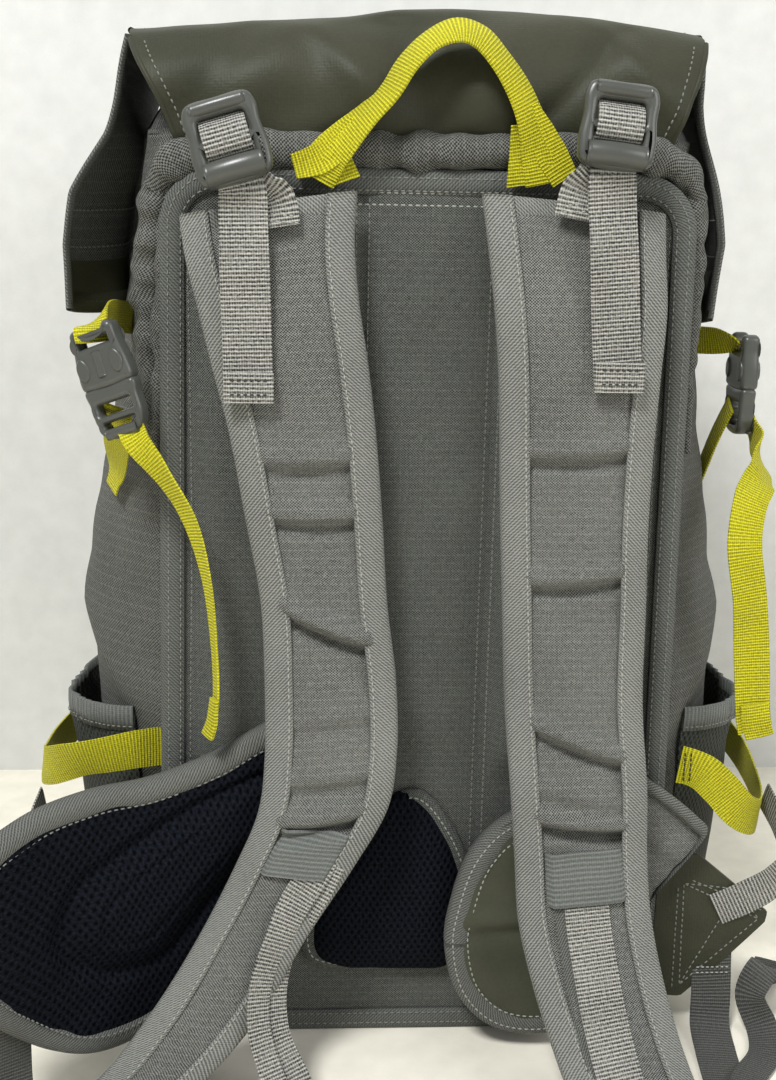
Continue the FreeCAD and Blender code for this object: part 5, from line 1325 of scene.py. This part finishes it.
def fin_place(a, b):
    """For patch: the left fin's curved face, which comes forward round the hip."""
    dense = spline(FIN_Y, 200)
    y = np.interp(a, dense[:, 0], dense[:, 1])
    low = ramp(60 - b, 0, 50) * 9 * ramp(-a, 110, 180)
    return np.stack([a, y - low, b], 1)


def make_left_fin():
    """The left hip fin, which shows its mesh, with a raised pad."""
    outline = loop([(-60, 172), (-66, 190), (-82, 182), (-106, 169), (-134, 161), (-160, 161),
                    (-186, 158), (-208, 147), (-219, 124), (-215, 96), (-200, 64), (-178, 36), (-158, 26),
                    (-136, 28), (-112, 44), (-88, 64), (-70, 86), (-60, 112), (-56, 140)], 200)
    stand = 4.6  # how far the face stands out at its edge

    def rise(a, b, r):
        """A raised pad that runs down the fin, in a groove."""
        tip, end = np.array([-70.0, 156.0]), np.array([-147.0, 96.0])
        axis = end - tip
        t = np.clip(((a - tip[0]) * axis[0] + (b - tip[1]) * axis[1]) / (axis @ axis), 0, 1)
        away = np.hypot(a - tip[0] - axis[0] * t, b - tip[1] - axis[1] * t)
        ring = away / (7 + 20 * t**0.8)
        island = 5.2 * (1 - ramp(ring, 0.55, 1.0)) - 3.8 * hump(ring, 1.2, 0.15)
        inner = -2.2 * hump(ring, 0.56, 0.08) * ramp(t, 0.3, 0.6)
        return stand + (3.4 + island + inner) * (1 - r**5) + 0.4 * ripple(a, b, 17, 30)
    fin = patch("fin_mesh_left", outline, fin_place, rise, 4.2, "mesh", None, rings=44,
                replaces=("hip_fin_left",), centre=(-134, 108))
    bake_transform(fin)
    edge = border("fin_binding_left", outline, lambda a, b: fin_place(a, b) - [[0, stand, 0]], 8.0,
                  10.0, None, "twill_dark", proud=2.2, rows=())
    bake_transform(edge)
    P = fin_place(outline[:, 0], outline[:, 1]) - [[0, stand, 0]]
    N = unit(np.cross(fin_place(outline[:, 0] + 0.5, outline[:, 1]) - fin_place(outline[:, 0], outline[:, 1]),
                      UP))
    out = unit(np.cross(tangents(P), N))
    if ((P - P.mean(0)) * out).sum() < 0:
        out = -out
    # Stitches on the tape, left out where the fin bends.
    line = (P - out * 8.2 + N * 3.1) * MM
    for which, body in ((outline[:, 0] < -122, "fin_left"), (outline[:, 0] > -118, "pack")):
        index = np.flatnonzero(which)
        for run in np.split(index, np.flatnonzero(np.diff(index) > 1) + 1):
            if len(run) > 3:
                stitch(line[run], N[run], body, "thread_grey")


def make_right_fin():
    """The right hip fin, folded in: its coated face on a cloth base that's sewn to the bag."""
    def fold(height):
        return 1.7 * hump(height, 76, 5) - 2.2 * hump(height, 68, 5)
    outline = loop([(17, 66), (19, 84), (28, 114), (44, 133), (66, 141), (92, 142), (108, 128),
                    (113, 90), (108, 46), (92, 20), (68, 12), (42, 17), (24, 36)], 160)
    face = patch("fin_face_right", outline, flat_place(-103.5),
                 lambda a, b, r: (4.6 + 2.6 * (1 - r**4) + fold(b - 0.08 * a) * (1 - r**3)
                                  + 0.7 * ripple(a, b, 23, 38)),
                 4.6, "olive_soft", "fin_right", rings=30, replaces=("hip_fin_right",))
    border("fin_binding_right", outline, flat_place(-107.2), 8.0, 12.0, "fin_right",
           "twill_dark", proud=1.8, rows=(2.6, 10.4))
    corners = [(94, 50), (120, 54), (128, 88), (150, 118), (151, 126), (146, 131), (118, 151), (96, 150)]
    base = even_ring(corners, 120)
    foot = patch("fin_base_right", base, flat_place(-95.0), lambda a, b, r: 2.4 + 1.4 * (1 - r**3)
                 + 0.9 * ripple(a, b, 29, 30) - 1.5 * hump(b + a * 0.75, 205, 5), 3.0, "strap", "pack",
                 replaces=("hip_fin_bases",))
    roll = spline([(112, -99, 156), (132, -99.5, 142), (146, -99.5, 130), (152, -98, 123),
                   (148, -97, 114), (136, -96, 97), (127, -95, 84)], 60)
    sweep("fin_base_roll_right", roll * MM, every((0.6, 0.0, 0.8), 60), every(HARNESS, 60),
          oval(3.4, 3.0, 14), "twill_dark", "pack")


def make_wings():
    """Cloth wings between the bag and the belt, quilted with crossed seams."""
    for side in (-1, 1):
        name = "left" if side < 0 else "right"
        corners = [(132, 20), (150, 19), (172, 40), (194, 64), (195, 70), (174, 88), (155, 104), (133, 108)]
        ring = even_ring([(side * a, b) for a, b in corners], 120)
        wing = patch(f"wing_cloth_{name}", ring, flat_place(-86.4),
                     lambda a, b, r: 1.2 + 0.9 * ripple(a, b, 7, 34) * (1 - r), 1.2, "olive", "pack",
                     rings=14, replaces=("stabiliser_wings",))
        box = [(147, 88), (178, 84), (190, 66), (149, 26), (147, 88), (190, 66)]
        for a, b in list(zip(box, box[1:])) + [((149, 26), (178, 84)), ((151, 90), (192, 71)),
                                               ((144, 86), (145, 24))]:
            seam(wing, [(side * a[0], 0, a[1]), (side * b[0], 0, b[1])], "pack", colour="thread_grey",
                 smooth=False)
        loop_run = [(side * x, y, z, side * lean, dy, dz) for x, y, z, lean, dy, dz in (
            (166, -87.8, 72, -0.7, 0, 0.7), (182, -88.6, 80, -0.6, 0, 0.8), (197, -86, 88, -0.4, -0.1, 0.9),
            (206, -78, 100, -0.1, -0.3, 0.95), (205, -66, 112, 0, -0.4, 0.9), (202, -48, 121, 0, -0.3, 1))]
        web(f"wing_loop_{name}", loop_run, 19.5, "web", "pack", replaces=("wing_loops",))


make_lumbar()
make_left_fin()
make_right_fin()
make_wings()


# ---------------------------------------------------------------- belt and lower webbing
def make_belt():
    """Belt webbing, its buckle halves, and the lower webbing with its adjusters."""
    right = [(166, -84.4, 60, 1, 0, 0), (166.5, -86.5, 40, 1, 0, 0), (167, -89, 20, 1, 0, 0),
             (166, -94, 6, 1, 0, 0), (164, -112, 1.8, 1, 0, 0), (160, -150, 1.5, 1, 0, 0),
             (158, -176, 2.2, 1, 0, 0)]
    web("belt_web_right", right, 22, "web_dark", "pack", replaces=("belt_webbing_right",))
    for dz in (0, 3.4):
        tack([(x, -88.9, 34 + dz) for x in np.linspace(157, 176, 9)], "pack", "thread_light", pitch=2.4,
             size=1.9)
    tail = [(160, -175.6, 4.4, 1, 0, 0), (163, -160, 4.0, 1, -0.2, 0), (174, -138, 3.4, 0.9, -0.4, 0),
            (190, -116, 2.4, 0.9, -0.4, 0.1), (194, -98, 6, 0.9, -0.2, 0.3), (188, -92, 22, 0.7, -0.5, 0.4),
            (196, -88, 36, 0.8, -0.4, -0.3), (203, -78, 26, 0.9, -0.3, 0), (204, -64, 10, 0.9, -0.3, 0.3),
            (214, -44, 3, 0.8, -0.5, 0), (222, -30, 4, 0.8, -0.5, 0)]
    web("belt_tail_right", tail, 17, "web_dark", "pack", replaces=("belt_webbing_right",))
    left = [(-197, -163, 100, 0.72, 0.68, 0), (-199, -160, 60, 0.75, 0.65, 0), (-201, -158, 24, 0.85, 0.5, 0),
            (-201, -160, 6, 0.98, 0.1, 0), (-200, -172, 1.8, 0.99, 0.09, 0), (-198, -190, 1.6, 0.99, 0.09, 0)]
    web("belt_web_left", left, 23, "web_dark", "fin_left", replaces=("belt_webbing_left",))
    for name, x, y, turn, body in (("socket", -197.5, -195.0, 5, "fin_left"),
                                   ("plug", 158.0, -178.0, 0, "pack")):
        place = at((x, y, 5.8), yaw=turn, tip=-90)
        outline = loop([(-14, -0.6), (-13.6, -10), (-12, -20), (-9, -26), (0, -27), (9, -26),
                        (12, -20), (13.6, -10), (14, -0.6), (0, -0.4)], 80)
        moulded_plate(f"belt_{name}_plate", outline, [rounded(-9.4, 9.4, -9.0, -5.2, 1.4)], 9.4,
                      place, body, bevel=2.6, replaces=(f"belt_buckle_{name}",))
        if name == "plug":
            for k, dx in enumerate((-10, 0, 10)):
                bar(f"belt_plug_prong_{k}", (dx, 0, -24), (dx, 0, -39), 1.8, 2.2, place, body)
    for side, run in (("left", [(-112, -89, 34, 1, 0, 0), (-112, -91, 10, 1, 0, 0),
                                (-116, -106, 2.4, 1, 0, 0), (-130, -140, 1.8, 1, -0.2, 0),
                                (-143, -173, 2.6, 0.9, -0.4, 0)]),
                      ("right", [(118, -89, 34, 1, 0, 0), (118, -91, 10, 1, 0, 0),
                                 (116, -104, 2.4, 1, 0, 0), (112, -150, 1.8, 1, 0, 0),
                                 (107, -191, 2.6, 1, 0, 0)])):
        web(f"lower_web_{side}", run, 23.5, "web", "pack", replaces=("lower_webbing",))
    for side, middle, turn in (("right", (107, -209.5, 10), 0), ("left", (-152, -190, 10), -32)):
        ladder_lock(f"adjuster_lock_{side}", at(middle, yaw=turn, tip=-80), f"adjuster_{side}",
                    f"strap_adjuster_{side}")


make_belt()


# ---------------------------------------------------------------- pockets
def bag_patch(z_values, chosen):
    """Part of the bag's surface as a grid. chosen(x, y) says which points of the ring are in it."""
    G = bag_surface(z_values, RING_POINTS)
    middle = G[:, len(z_values) // 2]
    return G[one_run(chosen(middle[:, 0], middle[:, 1]))]


def make_side_pockets():
    """Stretched net pockets with an elastic hem."""
    for sign, name in ((1, "right"), (-1, "left")):
        z = np.linspace(15, 178, 60)
        G = bag_patch(z, lambda x, y: (x * sign > 0) & (y > -62) & (y < 40))
        nu, nv = G.shape[:2]
        u = np.linspace(0, 1, nu)[:, None]
        v = np.linspace(0, 1, nv)[None]
        out = G - np.array([0, 10, 0])
        out[..., 2] = 0
        out = unit(out * np.array([1, 0.35, 0]))
        bulge = 1.5 + 14 * np.clip(np.sin(math.pi * u), 0, 1) ** 0.55 * ramp(v, 0.0, 0.12) * (0.8 + 0.2 * v)
        ruffle = 1.1 * np.sin(u * 70 + 3 * np.sin(u * 17)) * ramp(v, 0.75, 1)
        ruffle = ruffle + 1.3 * ripple(u * 110, v * 160, 19, 46)
        P = G + out * (bulge + ruffle * np.clip(np.sin(math.pi * u), 0, 1))[..., None]
        P[..., 2] -= 5 * np.sin(math.pi * u) * v
        Pm = P * MM
        if (normals_of(Pm)[nu // 2, nv // 2] * out[nu // 2, nv // 2]).sum() < 0:
            Pm = Pm[::-1]
        piece = slab(f"side_pocket_net_{name}", Pm, 0.5 * MM, 0.5 * MM, "net", "pack",
                     replaces=(f"side_pocket_{name}",))
        hem = Pm[:, -1]
        N = normals_of(Pm)[:, -1]
        tape = [(1.0, 0.2), (0.6, 1.4), (-6, 1.7), (-13, 1.2), (-13, 0.5), (-6, -0.9), (0.6, -1.0)]
        up = every(UP, nu)
        sweep(f"side_pocket_hem_{name}", hem, up, N, tape, "elastic", "pack")
        stitch(hem - up * 10.5 * MM + N * 1.75 * MM, N, "pack", "thread_grey")


def make_front_pocket():
    """The pocket that stands out from the bag's front, and its zip."""
    z = np.linspace(58, 332, 90)
    G = bag_patch(z, lambda x, y: (np.abs(x) < 101) & (y > 40))
    nu, nv = G.shape[:2]
    u = np.linspace(-1, 1, nu)[:, None]
    v = np.linspace(-1, 1, nv)[None]
    edge = (1 - np.abs(u) ** 7) * (1 - np.abs(v) ** 9)
    G = faced(G, nu // 2, nv // 2, 1)
    d = 1.2 + 10.4 * np.clip(edge, 0, 1) ** 0.6 + 1.5 * ripple(G[..., 0], G[..., 2], 41, 90)
    d = d + 0.7 * ripple(G[..., 0], G[..., 2], 43, 34)
    P = (G + normals_of(G) * d[..., None]) * MM
    pad = slab("front_pocket_cloth", P, 0, 1.4 * MM, "body lining", "pack",
               inner=lambda a, b: 1, replaces=("front_pocket",))
    row = int(np.argmin(np.abs(z - 300)))
    N = normals_of(P)[6:-6, row]
    path = P[6:-6, row] + N * 0.6 * MM
    up = every(UP, len(path))
    sweep("front_zip_tape", path, up, N, [(-11, 0), (-11, 1), (-2, 1.1), (0, 0.6), (2, 1.1), (11, 1),
                                          (11, 0)], "elastic", "pack", replaces=("pocket_zip",))
    for dz in (-8.5, 8.5):
        stitch(path + up * dz * MM + N * 1.1 * MM, N, "pack", "thread_grey")
    # The zip's two rows of teeth.
    for dz in (-1.1, 1.1):
        stitch(path + up * dz * MM + N * 1.2 * MM, N, "pack", "thread_dark", pitch=1.6, size=1.2, radius=0.7)



make_side_pockets()
make_front_pocket()


# ---------------------------------------------------------------- inside, fastening tapes, the zip's slider
def make_inside():
    """The sleeve for the reservoir, and its hanger."""
    corner = [(-104, -76), (-104, -52), (-103, -42), (-96, -36.8), (-60, -36.2), (0, -36.2),
              (60, -36.2), (96, -36.8), (103, -42), (104, -52), (104, -76)]
    across = even(spline(corner, 300), 120)
    z = np.linspace(51, 290, 70)
    G = np.stack([np.repeat(across[:, :1], 70, 1), np.repeat(across[:, 1:2], 70, 1),
                  np.repeat(z[None], 120, 0)], 2)
    G[..., 1] += 0.8 * ripple(G[..., 0], G[..., 2], 51, 60) * ramp(G[..., 1], -60, -40)
    G = faced(G, 60, 35, 1)
    slab("sleeve_cloth", G * MM, 0, 1.2 * MM, "lining", "pack", replaces=("reservoir_sleeve",))
    patch("sleeve_floor", across, level_place(50.8), lambda a, b, r: 0.6 + 0 * r, 0.6, "lining", "pack",
          rings=6, centre=(0, -58))
    hem = G[:, -1] * MM
    N = normals_of(G)[:, -1]
    up = every(UP, len(hem))
    sweep("sleeve_hem", hem, up, N, [(0.6, 0), (0.2, 1.2), (-8, 1.3), (-16, 1.0), (-16, 0.2), (-8, -1.6),
                                     (0.2, -1.6)], "elastic", "pack")
    web("hanger_web", [(0, -74.8, 426, 1, 0, 0), (0, -74.9, 410, 1, 0, 0), (0, -74.8, 393, 1, 0, 0)], 20,
        "web_dark", "pack", replaces=("reservoir_hanger",))


def make_tapes():
    """Loop tape on the bag's front and hook tape inside the front flap."""
    for name, piece, ray, body in (("loop", "bag_front_panel", (0, -1, 0), "pack"),
                                   ("hook", "lid_front_flap", (0, 1, 0), "lid")):
        rows = []
        for x in np.linspace(-45, 45, 31):
            found, _ = land(bpy.data.objects[piece], [(x, 0, z) for z in np.linspace(432, 457, 11)], ray, 1.0)
            rows.append(found)
        G = np.array(rows)
        slab(f"lid_{name}_strip", G, 0.75 * MM, 0.75 * MM, "hook", body,
             replaces=(f"lid_{name}_tape",))


def make_slider():
    """The zip's slider with its pull."""
    found, _ = land(bpy.data.objects["front_pocket_cloth"], [(-77.5, 0, 300)], (0, -1, 0), 4.4)
    place = at(found[0] / MM, yaw=180)
    moulded_plate("slider_body", rounded(-4.5, 4.5, -6, 6, 2.2), [], 3.4, place, "zip", bevel=1.2,
                  replaces=("zip_slider",), material="dark_plastic")
    tab = place @ at((0, -1.6, -14))
    moulded_plate("slider_pull", rounded(-2.6, 2.6, -12, 10, 2.0), [rounded(-1.2, 1.2, 4.5, 8, 1.0)], 1.8,
                  tab, "zip", bevel=0.6, material="dark_plastic")


make_inside()
make_tapes()
make_slider()


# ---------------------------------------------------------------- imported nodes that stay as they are
STAYS = {"ripstop_grey": "body", "panel_grey": "panel", "lid_olive": "olive", "lining_grey": "lining",
         "binding_twill": "twill", "spacer_mesh": "mesh", "pocket_mesh": "net", "grey_webbing": "web",
         "dark_webbing": "web_dark", "lime_webbing": "lime", "grey_plastic": "plastic",
         "frame_plastic": "sheet", "stay_aluminium": "metal", "bladder_film": "film", "cap_blue": "blue",
         "hook_loop": "hook", "zip_tape": "elastic", "zip_metal": "dark_plastic"}


def dress_frame():
    """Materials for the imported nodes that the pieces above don't replace."""
    slots = {row["node"]: row["material_slot"] for row in frame["record"]["subparts"]}
    for node, obj in frame["nodes"].items():
        obj.data.materials.clear()
        obj.data.materials.append(M[STAYS[slots[node]]])
        if not obj.data.uv_layers:
            obj.data.uv_layers.new(name="UVMap")


dress_frame()


# ---------------------------------------------------------------- camera, light, stage
WALL_Y = 0.262
CAMERA_PLACE = (-0.055, -0.717, 0.436)
CAMERA_TURN = (14, 3.4, 1.2)  # degrees down, to the right and rolled
LENS = 130 / 3  # millimetres, on a sensor of 36


def one_sided(mat):
    """Seen from behind, the wall is clear, so that it never hides the pack."""
    tree = mat.node_tree
    geometry = tree.nodes.new("ShaderNodeNewGeometry")
    clear = tree.nodes.new("ShaderNodeBsdfTransparent")
    pick = tree.nodes.new("ShaderNodeMixShader")
    tree.links.new(geometry.outputs["Backfacing"], pick.inputs[0])
    tree.links.new(tree.nodes["Principled BSDF"].outputs[0], pick.inputs[1])
    tree.links.new(clear.outputs[0], pick.inputs[2])
    tree.links.new(pick.outputs[0], tree.nodes["Material Output"].inputs["Surface"])
    return mat


def make_stage():
    reach = 3.0
    floor_mat = moulded("floor_pale", (0.90, 0.86, 0.74), rough=0.6)
    wall_mat = one_sided(moulded("wall_white", (0.66, 0.666, 0.64), rough=0.9))
    floor = [(-reach, -reach, 0), (reach, -reach, 0), (reach, reach, 0), (-reach, reach, 0)]
    wall = [(-reach, WALL_Y, 0), (reach, WALL_Y, 0), (reach, WALL_Y, reach), (-reach, WALL_Y, reach)]
    for name, corners, mat in (("stage_floor", floor, floor_mat), ("stage_wall", wall, wall_mat)):
        mesh = bpy.data.meshes.new(name)
        mesh.from_pydata(corners, [], [(0, 1, 2, 3)])
        mesh.materials.append(mat)
        obj = bpy.data.objects.new(name, mesh)
        bpy.context.scene.collection.objects.link(obj)


def make_camera():
    data = bpy.data.cameras.new("view")
    data.sensor_width = 36
    data.sensor_fit = "AUTO"
    data.lens = LENS
    obj = bpy.data.objects.new("view", data)
    obj.location = CAMERA_PLACE
    pitch, yaw, roll = (math.radians(a) for a in CAMERA_TURN)
    forward = Vector((math.sin(yaw) * math.cos(pitch), math.cos(yaw) * math.cos(pitch), -math.sin(pitch)))
    turn = forward.to_track_quat("-Z", "Y").to_matrix()
    obj.rotation_euler = (turn @ Matrix.Rotation(roll, 3, "Z")).to_euler()
    bpy.context.scene.collection.objects.link(obj)
    bpy.context.scene.camera = obj


def make_light():
    def lamp(name, place, aim, size, power):
        data = bpy.data.lights.new(name, "AREA")
        data.shape = "DISK"
        data.size = size
        data.energy = power
        obj = bpy.data.objects.new(name, data)
        obj.location = place
        obj.rotation_euler = (Vector(aim) - Vector(place)).to_track_quat("-Z", "Y").to_euler()
        bpy.context.scene.collection.objects.link(obj)
    lamp("key", (-0.62, -1.2, 1.9), (0, 0, 0.25), 0.5, 42)
    lamp("fill", (1.4, -1.2, 1.2), (0, 0, 0.25), 1.2, 14)
    world = bpy.data.worlds.new("studio")
    world.use_nodes = True
    world.node_tree.nodes["Background"].inputs[0].default_value = (0.95, 0.97, 1.0, 1)
    world.node_tree.nodes["Background"].inputs[1].default_value = 0.42
    bpy.context.scene.world = world
    bpy.context.scene.view_settings.view_transform = "Standard"


sew()
make_stage()
make_camera()
make_light()
